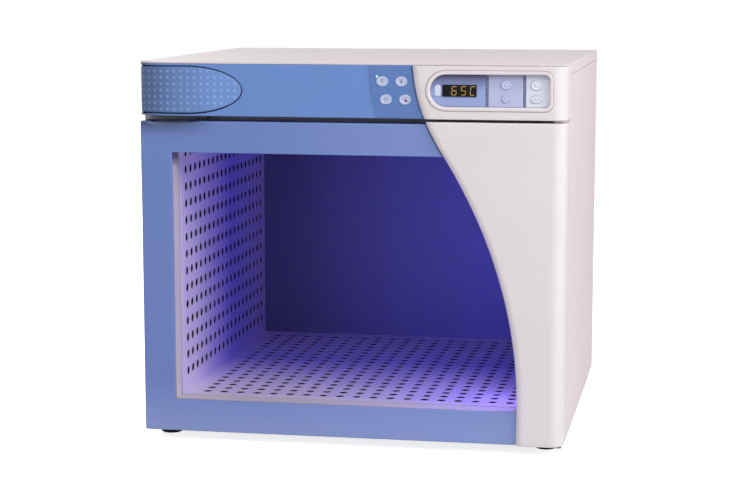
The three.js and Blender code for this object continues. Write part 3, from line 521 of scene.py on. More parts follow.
# Finishes
class Finish:
    """A procedural material: a principled shader and the nodes that vary it over Object coordinates."""

    def __init__(self, name, base, rough, metal=0.0):
        self.material = bpy.data.materials.new(name)
        self.material.use_nodes = True
        self.tree = self.material.node_tree
        self.shader = self.tree.nodes["Principled BSDF"]
        self.base = tuple(base)
        self.paint((*self.base, 1)).polish(rough).give("Metallic", metal)
        self.place = self.node("ShaderNodeTexCoord").outputs["Object"]

    def feed(self, socket, value):
        """Links another node's output to a socket, or sets a constant on it."""
        if isinstance(value, bpy.types.NodeSocket):
            self.tree.links.new(value, socket)
        else:
            socket.default_value = value

    def node(self, kind, inputs=None, **settings):
        """A new node with its settings and what its sockets are fed."""
        made = self.tree.nodes.new(kind)
        for key, value in settings.items():
            setattr(made, key, value)
        for socket, value in (inputs or {}).items():
            self.feed(made.inputs[socket], value)
        return made

    def give(self, socket, value):
        """Feeds one of the shader's own sockets."""
        self.feed(self.shader.inputs[socket], value)
        return self

    def paint(self, tint):
        """Feeds the shader's colour."""
        return self.give("Base Color", tint)

    def polish(self, rough):
        """Feeds the shader's roughness."""
        return self.give("Roughness", rough)

    def stretched(self, stretch):
        """Object coordinates scaled along each axis."""
        return self.node("ShaderNodeMapping", {"Scale": stretch, "Vector": self.place}).outputs["Vector"]

    def noise(self, cells, detail=2.0, stretch=(1, 1, 1)):
        """Noise of that many cells a metre."""
        inputs = {"Scale": cells, "Detail": detail, "Vector": self.stretched(stretch)}
        return self.node("ShaderNodeTexNoise", inputs).outputs["Fac"]

    def along(self, axis, low, high):
        """Share of the way from one place to another along an axis."""
        split = self.node("ShaderNodeSeparateXYZ", {"Vector": self.place})
        return self.span(split.outputs["XYZ".index(axis)], low, high, 0.0, 1.0)

    def span(self, value, low, high, first, last):
        """A value carried from one range to another."""
        inputs = {"Value": value, "From Min": low, "From Max": high, "To Min": first, "To Max": last}
        return self.node("ShaderNodeMapRange", inputs).outputs["Result"]

    def spread(self, noise, first, last):
        """The middle of a noise's range carried to another range."""
        return self.span(noise, 0.3, 0.7, first, last)

    def ramp(self, value, *stops):
        """Colours by a value from 0 to 1, each stop a place and a colour."""
        made = self.node("ShaderNodeValToRGB", {"Fac": value})
        band = made.color_ramp
        while len(band.elements) < len(stops):
            band.elements.new(0.5)
        for element, (place, shade) in zip(band.elements, stops):
            element.position = place
            element.color = (*shade, 1)
        return made.outputs["Color"]

    def mix(self, share, first, second):
        """One colour turning into another."""
        return self.node("ShaderNodeMix", {0: share, 6: first, 7: second}, data_type="RGBA").outputs[2]

    def product(self, first, second):
        """Two values multiplied."""
        return self.node("ShaderNodeMath", {0: first, 1: second}, operation="MULTIPLY").outputs[0]

    def shade(self, amount):
        """The base colour, darker or lighter by an amount."""
        return tuple(min(1.0, part * amount) for part in self.base)

    def mottle(self, cells, amount):
        """Varies the base colour with a broad noise."""
        stops = (0.3, self.shade(1 - amount)), (0.7, self.shade(1 + amount))
        return self.paint(self.ramp(self.noise(cells, 3), *stops))

    def dimmed(self, axis, clear, dark, amount):
        """Darkens the colour from one place to another along an axis, as painted shade."""
        tint = self.shader.inputs["Base Color"].links[0].from_socket
        return self.paint(self.mix(self.along(axis, clear, dark), tint, (*self.shade(amount), 1)))

    def uneven(self, cells, low, high):
        """Varies the roughness with noise."""
        return self.polish(self.spread(self.noise(cells), low, high))

    def relief(self, height, strength, distance):
        """Bump from a height value."""
        inputs = {"Height": height, "Strength": strength, "Distance": distance}
        return self.give("Normal", self.node("ShaderNodeBump", inputs).outputs["Normal"])

    def grained(self, strength):
        """The fine grain of a mould."""
        return self.relief(self.noise(2600, 2), strength, 0.15 * MM)


def enamel(name, base):
    """Powder coat: orange peel about a millimetre across and a faint cloudiness."""
    made = Finish(name, base, 0.6)
    made.mottle(6, 0.012).uneven(40, 0.54, 0.68)
    return made.relief(made.noise(900, 1), 0.10, 0.3 * MM).material


def moulding(name, base, rough=0.38, grain=0.06, dim=None):
    """Moulded plastic: fine grain, unevenness of colour and gloss, and painted shade darkening one end where
    dim gives one.
    """
    made = Finish(name, base, rough)
    made.mottle(9, 0.015).uneven(60, rough - 0.06, rough + 0.06)
    if dim:
        made.dimmed(*dim)
    return made.grained(grain).material


def dotted(name, base):
    """The pad's plastic: raised dots smoother and paler than the ground, partly rubbed and partly a painted
    highlight, with painted shade between them and towards the left end.
    """
    made = Finish(name, base, 0.4)
    raised = made.node("ShaderNodeAttribute", attribute_name=RAISED).outputs["Fac"]
    # dot tops paler, partly rubbed and partly a painted highlight; the ground between them darker, painted
    # shade
    tint = made.ramp(raised, (0.0, made.shade(0.9)), (0.3, made.shade(0.95)), (0.9, made.shade(1.28)))
    across = made.along("X", LEFT, LEFT + 190 * MM)
    # painted shade towards the left end, where the pad turns away from the light, lighter on the dot tops
    dim = made.product(made.span(across, 0.75, 0.0, 0.0, 0.95), made.span(raised, 0, 1, 1.0, 0.55))
    made.paint(made.mix(dim, tint, (*made.shade(0.33), 1))).polish(made.span(raised, 0, 1, 0.46, 0.3))
    return made.grained(0.05).material


def door_finish(name, base, pale_base):
    """The door's plastic, with a painted shadow of the strip at its top left, and painted light along the
    bottom and towards the right.
    """
    made = Finish(name, base, 0.38)
    low, high = DOOR[0][2], DOOR[1][2]
    # painted shadow of the strip across the door's top left, deepest at the top edge
    upper = made.along("Z", high - 36 * MM, high - 6 * MM)
    shadow_under_strip = made.product(made.along("X", LEFT + 150 * MM, LEFT + 75 * MM), made.product(upper, upper))
    # painted light from the floor along the bottom rail
    pale = made.mix(made.along("Z", low + 90 * MM, low + 10 * MM), (*made.base, 1), (*pale_base, 1))
    # more painted light towards the right, lifting the shade that the white wing casts on the blue
    painted_light_right = made.span(made.along("X", LEFT + 230 * MM, LEFT + 470 * MM), 0, 1, 0.0, 0.4)
    pale = made.mix(painted_light_right, pale, (*pale_base, 1))
    made.paint(made.mix(shadow_under_strip, pale, (*made.shade(0.35), 1))).uneven(60, 0.32, 0.44)
    return made.grained(0.06).material


def plate_finish(name, base, top):
    """A controller plate's printed face, with painted shade at the top where the bezel's recess shades it,
    and clear below.
    """
    made = Finish(name, base, 0.36)
    low, high = box("display_plate")
    # painted shade: darker at the top, where the bezel's recess shades the plate
    down = made.along("Z", high[2], low[2])
    made.paint(made.ramp(down, (0.02, top), (0.5, made.base), (1.0, made.shade(1.06)))).uneven(60, 0.3, 0.42)
    return made.grained(0.03).material


def printed(name, base):
    """Printed ink: nearly matt with a slight speckle."""
    return Finish(name, base, 0.5).mottle(900, 0.05).material


def brushed(name, base, stretch, rough=0.32, metal=0.9):
    """Brushed metal: noise drawn out along the brushing, in colour, gloss and relief."""
    made = Finish(name, base, rough, metal)
    lines = made.noise(900, 3, stretch)
    made.paint(made.ramp(lines, (0.25, made.shade(0.9)), (0.75, made.shade(1.08))))
    made.polish(made.spread(lines, rough - 0.07, rough + 0.1))
    return made.relief(lines, 0.05, 0.2 * MM).material


def lit_steel(name, axis, stops, shadow, dark, bump):
    """Steel with painted light along an axis of the chamber, for the violet lamp and the light from the door,
    over fine brushing.
    """
    made = Finish(name, stops[0][1], 0.42, 0.15)
    lines = made.noise(700, 3, (1, 1, 0.04))
    index = "XYZ".index(axis)
    tint = made.ramp(made.along(axis, CHAMBER_LOW[index], CHAMBER_HIGH[index]), *stops)
    made.paint(made.mix(made.spread(lines, 0.0, dark), tint, (*shadow, 1)))
    return made.relief(lines, bump, 0.2 * MM), lines


def liner_finish(name, *stops):
    """The liners' steel, with painted light from the door to the back, and uneven gloss."""
    made, lines = lit_steel(name, "Y", stops, (0.05, 0.04, 0.16), 0.16, 0.05)
    return made.polish(made.spread(lines, 0.36, 0.5)).material


def back_wall_finish(name, left, right):
    """The back wall's steel, with painted lamp light brighter towards the lamp's side."""
    made, _ = lit_steel(name, "X", ((0.1, left), (0.8, right)), (0.03, 0.02, 0.1), 0.12, 0.04)
    return made.material


def galvanised(name, base):
    """Zinc coat: spangles about a centimetre across, each with its own shade and gloss."""
    made = Finish(name, base, 0.4, 0.85)
    spangle = made.node("ShaderNodeTexVoronoi", {"Scale": 90, "Vector": made.place})
    share = made.node("ShaderNodeSeparateColor", {"Color": spangle.outputs["Color"]}).outputs[0]
    made.paint(made.ramp(share, (0.0, made.shade(0.86)), (1.0, made.shade(1.1))))
    made.polish(made.span(share, 0, 1, 0.32, 0.5))
    return made.relief(made.noise(400, 2), 0.05, 0.2 * MM).material


def rubber(name, base):
    """Rubber: matt, with a fine grain."""
    made = Finish(name, base, 0.6).mottle(120, 0.12)
    return made.relief(made.noise(1800, 2), 0.2, 0.2 * MM).material


def wool(name, base):
    """Mineral wool: tangled fibres."""
    made = Finish(name, base, 0.95)
    fibres = made.noise(260, 6, (1, 1, 3))
    made.paint(made.ramp(fibres, (0.3, made.shade(0.6)), (0.7, made.shade(1.1))))
    return made.relief(fibres, 0.8, 2 * MM).material


def circuit_board(name, base):
    """Lacquered board with paler copper runs."""
    made = Finish(name, base, 0.35)
    inputs = {"Scale": 120, "Mortar Size": 0.03, "Vector": made.stretched((1, 0, 1))}
    runs = made.node("ShaderNodeTexBrick", inputs).outputs["Fac"]
    return made.paint(made.ramp(runs, (0.0, made.base), (1.0, made.shade(2.2)))).material


def gloss(name, base):
    """Smooth dark window with a trace of dust."""
    return Finish(name, base, 0.12).give("Specular IOR Level", 0.15).uneven(300, 0.08, 0.18).material


def pane(name):
    """Clear pane: nearly all of what lies behind shows, under a faint reflection with smears in it."""
    return Finish(name, (0.02, 0.02, 0.03), 0.04).give("Alpha", 0.08).uneven(14, 0.02, 0.10).material


def glowing(name, base, strength, cells=500):
    """A lit surface: its colour, faintly uneven, and its own light."""
    made = Finish(name, base, 0.4).mottle(cells, 0.06)
    return made.give("Emission Color", (*made.base, 1)).give("Emission Strength", strength).material


# White covers
def swept_cover(low, high, back):
    """A white cover as rows of one section in plan.

    The section leaves the blue face at the swept edge, turns forward on a quarter ellipse, runs across, and
    turns back on a larger quarter circle along the side. Towards the top and the bottom the section shrinks
    along its inward normals on a quarter circle, and then closes to the line behind it: the blue face on the
    left, and the cover's own back beside the right-hand side.
    """
    lip, end, wide = sizes().cover_lip, sizes().cover_end, sizes().cover_turn
    closed_at_back = 44 * MM
    blue = FACE_Y - FIT
    edge = blue - WHITE_Y
    turn = np.linspace(0, QUARTER, 9)
    flat = np.linspace(0, 1, 60)[1:-1]
    side = np.array([0.5, 1.0])
    rise = np.linspace(0, QUARTER, 5)
    climb, drawn_in = lip * (1 - np.cos(rise)), lip * (1 - np.sin(rise))
    upright = np.linspace(low + lip, high - lip, 60)[1:-1]
    rows = np.concatenate([[low], low + climb, upright, high - climb[::-1], [high]])
    shrink = np.concatenate([[lip], drawn_in, np.zeros(len(upright)), drawn_in[::-1], [lip]])
    start = sweep_x(rows)[:, None]
    near, far = start + wide, RIGHT - end
    x = np.hstack([
        start + wide * (1 - np.cos(turn)),
        near + (far - near) * flat,
        np.broadcast_to(far + end * np.sin(turn), (len(rows), len(turn))),
        np.full((len(rows), len(side)), RIGHT),
    ])
    y = np.concatenate([
        blue - edge * np.sin(turn),
        np.full(len(flat), WHITE_Y),
        WHITE_Y + end * (1 - np.cos(turn)),
        WHITE_Y + end + (back - WHITE_Y - end) * side,
    ])
    slope = unit(directions(turn) / (wide, edge)).T
    inward_x = np.concatenate([slope[0], np.zeros(len(flat)), -np.sin(turn), -np.ones(len(side))])
    inward_y = np.concatenate([slope[1], np.ones(len(flat)), np.cos(turn), np.zeros(len(side))])
    x = x + shrink[:, None] * inward_x
    y = y + shrink[:, None] * inward_y
    y[:, -1] = back
    behind = np.where(x[[0, -1]] < RIGHT - closed_at_back, blue, back)
    y[[0, -1]] = np.maximum(behind, y[[0, -1]])
    z = np.broadcast_to(rows[:, None], x.shape)
    return np.stack([x, y, z], -1).reshape(-1, 3), grid_faces(*x.shape)


def groove_shade(low, high):
    """A navy strip along the swept edge, painted shade standing for the shaded groove there: a flat ellipse
    carried up the blue face and drawn together at its ends.
    """
    half, raised, left_share = sizes().groove_shade / 2, 1.5 * MM, 0.8
    rows = np.linspace(low, high, 48)[:, None]
    angle = full_turn(12)
    open_ends = np.ones(rows.shape)
    open_ends[[0, -1]] = 0
    x = sweep_x(rows) - left_share * half + open_ends * half * np.cos(angle)
    y = FACE_Y - open_ends * raised * np.sin(angle)
    points = np.stack([x, y, np.broadcast_to(rows, x.shape)], -1)
    return solid((points.reshape(-1, 3), grid_faces(*x.shape, wrap_columns=True)))


def bezel_edges(inset):
    """Edges of the controller's bezel, drawn in by an inset: across, up and its four corner radii."""
    x = (BEZEL[0][0] + inset, BEZEL[1][0] - inset)
    z = (BEZEL[0][2] + inset, BEZEL[1][2] - inset)
    round_end = (z[1] - z[0]) / 2 - 0.01 * MM
    corner = sizes().bezel_corner - inset
    return x, z, (round_end, corner, corner, round_end)


def box_distance(x, z, radii):
    """Distance outside a rounded box, with one radius for its left half and one for its right half."""
    middle = np.array([sum(x) / 2, sum(z) / 2])
    half = np.array([x[1] - x[0], z[1] - z[0]]) / 2

    def distance(flat):
        offset = flat - middle
        radius = np.where(offset[:, 0] < 0, radii[0], radii[1])
        corner = np.abs(offset) - half + radius[:, None]
        outer = np.linalg.norm(np.maximum(corner, 0), axis=1)
        return outer + np.minimum(corner.max(1), 0) - radius

    return distance


def bezel_distance(inset):
    """Distance outside the bezel's outline, drawn in by an inset."""
    return box_distance(*bezel_edges(inset))


def make_covers():
    wall, under_rim = sizes().cover_wall, 2.8 * MM
    white = moulding("cover_white", colours().moulding, 0.5, 0.05)
    wing = looking(swept_cover(WING[0][2], WING[1][2], WING[1][1]), FRONT)
    make("door_wing_shell", wing, white, "door", "door_wing", wall)
    points, faces = swept_cover(COVER[0][2], COVER[1][2], COVER[1][1])
    opening = bezel_distance(sizes().bezel_rim - under_rim)
    points[:, [0, 2]], faces = punch(points[:, [0, 2]], faces, opening)
    cover = looking((points, faces), FRONT)
    make("end_cover_shell", cover, white, "cabinet", "end_cover", wall)


def make_groove_shades():
    # navy strips that paint the shade of the groove between the blue and the white
    navy = rubber("groove_shade_navy", colours().groove_shade)
    inside_strip, below_top, above_window = 0.5 * MM, 1 * MM, 54 * MM
    beside_cover = groove_shade(STRIP[0][2] + inside_strip, STRIP[1][2] - inside_strip)
    make("cover_groove_shade", beside_cover, navy, "cabinet", None)
    beside_wing = groove_shade(DOOR[1][2] - above_window, DOOR[1][2] - below_top)
    make("wing_groove_shade", beside_wing, navy, "door", None)


# Blue strip and push pad
def strip_plan(way):
    """Points across and deep, and outward normals, of the strip's front seen from above.

    The line follows the left side, a quarter of an ellipse and then the straight front. The way along it is
    counted so that on the straight front it is the distance from the left side.
    """
    half, straight = np.array([sizes().strip_end, sizes().strip_turn]), 1.0
    angle = np.linspace(math.pi, 3 * QUARTER, 400)
    turn = np.array([LEFT, FACE_Y]) + half + half * directions(angle)
    line = np.vstack([[[LEFT, FACE_Y + straight]], turn, [[LEFT + straight, FACE_Y]]])
    passed = np.concatenate([[0], np.cumsum(np.linalg.norm(np.diff(line, axis=0), axis=1))])
    passed += half[0] - passed[-2]
    angle = np.interp(way, passed, np.concatenate([angle[:1], angle, angle[-1:]]))
    return along_line(way, passed, line), unit(directions(angle) / half)


def way_at(depth):
    """The way along the strip's line where its left side lies at a depth behind the front."""
    ways = np.linspace(-0.2, 0, 4001)
    across, _ = strip_plan(ways)
    return float(np.interp(-depth, -across[:, 1] + FACE_Y, ways))


def pad_distance(inset):
    """Distance outside the pad's outline, to first order: a band that ends in half an ellipse."""
    size = sizes()
    half = (STRIP[1][2] - STRIP[0][2]) / 2 - size.pad_rim - inset
    reach = size.pad_tip - size.pad_straight - inset
    back = way_at(PAD[1][1] - FACE_Y + size.pad_groove - inset)

    def distance(flat):
        x = np.maximum(flat[:, 0] - size.pad_straight, 0)
        z = flat[:, 1] - STRIP_MIDDLE
        ratio = above_zero(np.sqrt((x / reach) ** 2 + (z / half) ** 2))
        slope = np.sqrt((x / reach**2) ** 2 + (z / half**2) ** 2) / ratio
        return np.maximum((ratio - 1) / above_zero(slope), back - flat[:, 0])

    return distance


def oval_gap(node):
    """Distance outside an oval node on the front and the running gap round it, to first order."""
    x, z, *half = front_oval(node)
    middle, half = np.array([x, z]), np.array(half) + 0.4 * MM

    def distance(flat):
        share = (flat - middle) / half
        ratio = above_zero(np.linalg.norm(share, axis=1))
        return (ratio - 1) * ratio / above_zero(np.linalg.norm(share / half, axis=1))

    return distance


def strip_openings():
    """Distance outside the nearest of the strip's openings: the pad, the keys and the controller."""
    behind_rim = 5 * MM
    pad, controller = pad_distance(0), bezel_distance(behind_rim)
    keys = [oval_gap(f"key_{index}") for index in range(1, 5)]

    def distance(flat):
        front = flat + (LEFT, 0)
        return np.min([pad(flat), controller(front), *(key(front) for key in keys)], 0)

    return distance


def arm_slot():
    """Distance outside the slot for the release arm, on the flat floor of the strip."""
    low, high = box("release_arm")
    beside, in_front, behind = 6 * MM, 22 * MM, 6 * MM
    near, far = low[:2] + (-beside, in_front), high[:2] + (beside, behind)

    def distance(spots):
        return np.maximum(near - spots, spots - far).max(1)

    return distance


def strip_shell():
    """The strip: its line in plan carried up, with small quarter circles at the top and the bottom edge.

    The top and the floor are ruled from that line straight back; the floor has a slot for the release arm.
    """
    lip, step, behind_cover = sizes().strip_lip, 2.2 * MM, 46 * MM
    low, high, back = STRIP[0][2], STRIP[1][2], STRIP[1][1]
    side = np.linspace(way_at(back - FACE_Y), way_at(sizes().strip_turn), 12)
    forward = np.arange(side[-1], COVER[1][0] - LEFT - behind_cover, step)
    rise = lip * (1 - np.cos(np.linspace(0, QUARTER, 5)))
    rows = np.concatenate([low + rise, np.linspace(low + lip, high - lip, 42)[1:-1], high - rise[::-1]])
    flat, faces = punch(*flat_grid(np.concatenate([side[:-1], forward]), rows), strip_openings())
    across, normals = strip_plan(flat[:, 0])
    fall = edge_fall(np.minimum(flat[:, 1] - low, high - flat[:, 1]), lip)
    front = (np.column_stack([across - fall[:, None] * normals, flat[:, 1]]), faces)
    line, normals = strip_plan(forward)
    line = line - lip * normals
    depth = strip_plan(side[::-1])[0][:, 1]
    share = (depth - depth[0]) / (back - depth[0])
    deep = line[:, 1] + share[:, None] * (back - line[:, 1])
    cap = np.stack([np.broadcast_to(line[:, 0], deep.shape), deep], -1).reshape(-1, 2)
    cap_faces = grid_faces(*deep.shape)
    floor, floor_faces = punch(cap, cap_faces, arm_slot())
    bottom = (np.column_stack([floor, np.full(len(floor), low)]), floor_faces)
    top = (np.column_stack([cap, np.full(len(cap), high)]), cap_faces)
    return join(looking(front, FRONT), looking(bottom, (0, 0, -1)), looking(top, (0, 0, 1)))


def pad_surface():
    """The push pad: the strip's line carried up inside the pad's outline, and how far each point is raised.

    The surface sinks along a quarter circle at its edge, and carries raised dots (1 - (r/R)^2)^1.5 high in
    rows measured along the surface. The dots fade out where the pad turns along the left side.
    """
    size = sizes()
    half_height, cell = 46, 0.85
    edge, dot_margin, fade = 2 * MM, 1.5 * MM, (19 * MM, 12 * MM)
    first = np.array([size.pad_tip - 15 * MM, STRIP_MIDDLE - 1.5 * MM])
    outline = pad_distance(size.pad_groove)
    back = way_at(PAD[1][1] - FACE_Y)
    ways = np.linspace(back, size.pad_tip + 2 * MM, int((size.pad_tip - back) / (cell * MM)))
    rows = STRIP_MIDDLE + np.arange(-half_height, half_height + 0.1, cell) * MM
    flat, faces = cut_out(*flat_grid(ways, rows), outline)
    depth = np.minimum(-outline(flat), flat[:, 0] - back)
    pitch = np.array([size.dot_pitch, size.dot_row])
    centre = np.round((flat - first) / pitch) * pitch + first
    radius = np.linalg.norm(flat - centre, axis=1) / size.dot_radius
    dome = np.maximum(1 - radius**2, 0) ** 1.5
    dome = dome * (np.minimum(-outline(centre), centre[:, 0] - back) > size.dot_radius + dot_margin)
    dome = dome * smooth_step(centre[:, 0], way_at(fade[0]), way_at(fade[1]))
    across, normals = strip_plan(flat[:, 0])
    rise = (dome - 1) * size.dot_height - edge_fall(np.maximum(depth, 0), edge)
    return (np.column_stack([across + rise[:, None] * normals, flat[:, 1]]), faces), dome


def make_strip():
    shades = colours()
    # painted shade at the strip's left end, where it turns away from the light
    blue = moulding("strip_blue", shades.strip, 0.36, dim=("X", LEFT + 34 * MM, LEFT + 6 * MM, 0.55))
    wall = sizes().cover_wall
    make("control_strip_shell", strip_shell(), blue, "cabinet", "control_strip", wall)
    dress(moulding("keypad_blue", shades.overlay, 0.3, 0.03), "keypad_overlay")


def make_pad():
    shape, raised = pad_surface()
    blue = dotted("pad_blue", colours().pad)
    wall, crease = 2 * MM, 60
    pad = looking(shape, FRONT)
    make("release_pad_shell", pad, blue, "release", "release_pad", wall, crease, raised)


# Keys
def ring_mark(place, inner, outer, first, last, steps=24):
    """A printed arc about a place: radii in millimetres, and angles from first to last in degrees."""
    x, y, z = place
    radius = np.array([inner, outer])[:, None, None] * MM
    arc = np.array([x, z]) + radius * directions(np.radians(np.linspace(first, last, steps)))
    return on_front(arc, y), grid_faces(2, steps)


def bar_mark(place, across, up, width, height):
    """A printed bar, its middle set off from a place, in millimetres."""
    x, y, z = place
    corners = np.array([[-1, -1], [1, -1], [1, 1], [-1, 1]]) * (width / 2, height / 2) + (across, up)
    return on_front(corners * MM + (x, z), y), np.array([[0, 1, 2, 3]])


def key_marks(index, place):
    """The print on one key, made of arcs and bars."""
    return join(*{
        1: (ring_mark(place, 2.6, 3.5, 30, 150), bar_mark(place, 0, -0.4, 4.4, 1.6)),
        2: (bar_mark(place, 0, 2.2, 5, 1.1), bar_mark(place, 0, -1, 3.4, 3)),
        3: (ring_mark(place, 2.4, 3.3, 120, 420), bar_mark(place, 0, 2.4, 1.2, 3)),
        4: (bar_mark(place, -0.4, 2, 5.4, 1.1),),
    }[index])


def key_cap(node, dish):
    """A key: an oval with a rounded rim and a shallow dish, by a profile of inset and depth."""
    front, back = (corner[1] for corner in box(node))
    profile = rounded_edge(front, back, 1.1 * MM)
    profile += [(2.2 * MM, front), (3.4 * MM, front + 0.5 * MM), (5 * MM, front + dish)]
    return solid(carry(*oval(*front_oval(node), 48), profile))


def make_keys():
    shades = colours()
    pale = moulding("key_lavender", shades.key, 0.34, 0.03)
    grey = printed("key_print", shades.mark)
    dish, lift, ink = 0.7 * MM, 0.12 * MM, 0.08 * MM
    for index in range(1, 5):
        node = f"key_{index}"
        make(node + "_cap", key_cap(node, dish), pale, node + "_body", node)
        x, z, _, _ = front_oval(node)
        place = (x, box(node)[0][1] + dish - lift, z)
        marks = looking(key_marks(index, place), FRONT)
        make(node + "_mark", marks, grey, node + "_body", wall=ink)
        if index == 4:
            red = printed("signal_red", shades.signal)
            make(node + "_signal", signal_spot(place), red, node + "_body")


def signal_spot(place):
    """A low round spot with a rounded edge, set off from a place to the right and down."""
    x, y, z = place
    radius, rounding = 2.3 * MM, 0.45 * MM
    right, down, raised, sunk = 1.9 * MM, 1.8 * MM, 0.5 * MM, 0.2 * MM
    outline = oval(x + right, z - down, radius, radius, 28)
    return solid(carry(*outline, rounded_edge(y - raised, y + sunk, rounding)))


def make_status_light():
    low, high = box("status_led")
    x, z, radius, _ = front_oval("status_led")
    dome = solid(carry(*oval(x, z, radius, radius, 24), rounded_edge(low[1], high[1], radius * 0.7)))
    green = glowing("status_green", colours().led, 1.2)
    make("status_light", dome, green, "cabinet", "status_led")


# Controller
def bezel_profile():
    """Section of the bezel: a crowned rim on the cover and a collar that runs in to the plates."""
    rim, collar, outer, inner = sizes().bezel_rim, 2.5 * MM, 1.1 * MM, 2.4 * MM
    front, seat, back = BEZEL[0][1], WHITE_Y - FIT, BEZEL[1][1]
    angle = np.linspace(0, QUARTER, 5)
    rise, run = 1 - np.sin(angle), 1 - np.cos(angle)
    crown = [*zip(outer * run, front + outer * rise), *zip(rim - inner * rise, front + inner * run)]
    return [(0, seat), *crown, (rim, back), (rim - collar, back), (rim - collar, seat)]


def make_bezel():
    shades = colours()
    rim = solid(carry(*rounded_box(*bezel_edges(0), steps=16), bezel_profile(), True))
    white = moulding("bezel_white", shades.moulding, 0.34, 0.04)
    make("bezel_rim", rim, white, "cabinet", "bezel_ring")
    beyond, width, seated, raised = 1.2 * MM, 1.9 * MM, WHITE_Y - 0.02 * MM, WHITE_Y - 0.4 * MM
    section = [(0, seated), (0.2 * MM, raised), (width, raised), (width, seated)]
    seal = solid(carry(*rounded_box(*bezel_edges(-beyond), steps=16), section, True))
    make("bezel_seal", seal, rubber("seal_tan", shades.seal), "cabinet")


def pressed_button(node):
    """An oval push button: rounded rim, a ring-shaped dip and a raised middle.

    The profile's insets are shares of the smaller half size, and its depths are millimetres behind the front.
    """
    x, z, *half = front_oval(node)
    front, back = (corner[1] for corner in box(node))
    dip = [(0.32, 0.5), (0.42, 1.1), (0.55, 1.1), (0.66, 0.6), (0.8, 0.3)]
    profile = rounded_edge(front + 0.4 * MM, back, 1.2 * MM)
    profile += [(share * min(half), front + depth * MM) for share, depth in dip]
    return solid(carry(*oval(x, z, *half, 48), profile))


def plate_sheet(node, radii, buttons):
    """A controller plate: a flat sheet cut to its rounded outline, sinking on a quarter circle at its edge.

    Round each button an oval is cut out, by the first-order distance to the oval.
    """
    low, high = box(node)
    x, z = (low[0], high[0]), (low[2], high[2])
    cells, rounding = 70, 0.7 * MM
    outline = box_distance(x, z, radii)
    flat, faces = cut_out(*flat_grid(np.linspace(*x, cells), np.linspace(*z, cells)), outline)
    for button in buttons:
        flat, faces = punch(flat, faces, oval_gap(button))
    deep = low[1] + edge_fall(np.maximum(-outline(flat), 0), rounding)
    return looking((on_front(flat, deep), faces), FRONT)


def make_plates():
    shades = colours()
    low, high = box("display_plate")
    small, round_end = 0.8 * MM, (high[2] - low[2]) / 2 - 0.01 * MM
    corner, wall = sizes().bezel_corner - sizes().bezel_rim, 3.6 * MM
    # the third colour of each plate is its painted shade at the top
    plates = {
        "display": ((round_end, small), shades.display, shades.display_top, "display_blue"),
        "adjust": ((small, small), shades.adjust, shades.adjust_top, "adjust_lavender"),
        "function": ((small, corner), shades.function, shades.function_top, "function_pale"),
    }
    buttons = {"adjust": shades.button, "function": shades.function}
    for name, (radii, base, top, slot) in plates.items():
        plate = f"{name}_plate"
        pressed = [f"{name}_button_{index}" for index in (1, 2)] if name in buttons else []
        face = plate_finish(plate + "_print", base, top)
        make(plate + "_sheet", plate_sheet(plate, radii, pressed), face, "cabinet", plate, wall)
        if name in buttons:
            make_buttons(pressed, moulding(f"{name}_button_pale", buttons[name], 0.4, 0.03))


def make_buttons(nodes, material):
    for node in nodes:
        make(node + "_cap", pressed_button(node), material, node + "_body", node)


def flat_slab(node, corner, rounding, steps):
    """A node's box seen from the front, with rounded corners and a rounded front edge."""
    low, high = box(node)
    outline = rounded_box((low[0], high[0]), (low[2], high[2]), (corner,) * 4, steps)
    return solid(carry(*outline, rounded_edge(low[1], high[1], rounding)))


def lit_bars(character):
    """The bars that a character lights: place across in widths and up in half heights, and whether level."""
    lit = {"6": "acdefg", "5": "acdfg", "C": "adef"}[character]
    places = {"a": (0, 1, 1), "b": (0.5, 0.5, 0), "c": (0.5, -0.5, 0), "d": (0, -1, 1),
              "e": (-0.5, -0.5, 0), "f": (-0.5, 0.5, 0), "g": (0, 0, 1)}
    return [places[bar] for bar in lit]


def lit_digits(text, shares):
    """Lit bars of each character as slanted six-sided strokes on the display window."""
    low, high = box("display_window")
    width, height, stroke, slant, gap, lift = 7.6 * MM, 14.4 * MM, 1.15 * MM, 0.10, 0.94, 0.15 * MM
    outline = np.array([[-1, 0], [-0.88, -1], [0.88, -1], [1, 0], [0.88, 1], [-0.88, 1]])
    parts = []
    for character, share in zip(text, shares):
        middle = np.array([low[0] + share * (high[0] - low[0]), (low[2] + high[2]) / 2])
        for across, up, level in lit_bars(character):
            span = np.array([width / 2, stroke / 2] if level else [stroke / 2, height / 4])
            shape = outline if level else outline[:, ::-1]
            bar = shape * span * gap + (across * width, up * height / 2)
            bar[:, 0] += slant * bar[:, 1]
            parts.append((on_front(bar + middle, low[1] - lift), np.array([[0, 1, 2, 3], [0, 3, 4, 5]])))
    return looking(join(*parts), FRONT)


def make_display():
    shades = colours()
    window = flat_slab("display_window", 0.6 * MM, 0.5 * MM, 4)
    black = gloss("display_black", shades.black)
    make("display_glass", window, black, "cabinet", "display_window")
    digits = lit_digits("65C", (0.347, 0.622, 0.888))
    make("display_digits", digits, glowing("digit_amber", shades.digits, 0.22), "cabinet", wall=0.1 * MM)
    _, _, half_width, _ = front_oval("sensor_lens")
    lens = flat_slab("sensor_lens", half_width - 0.05 * MM, 1.2 * MM, 8)
    white = moulding("lens_white", shades.lens, 0.2, 0.02)
    make("sensor_window", lens, white, "cabinet", "sensor_lens")


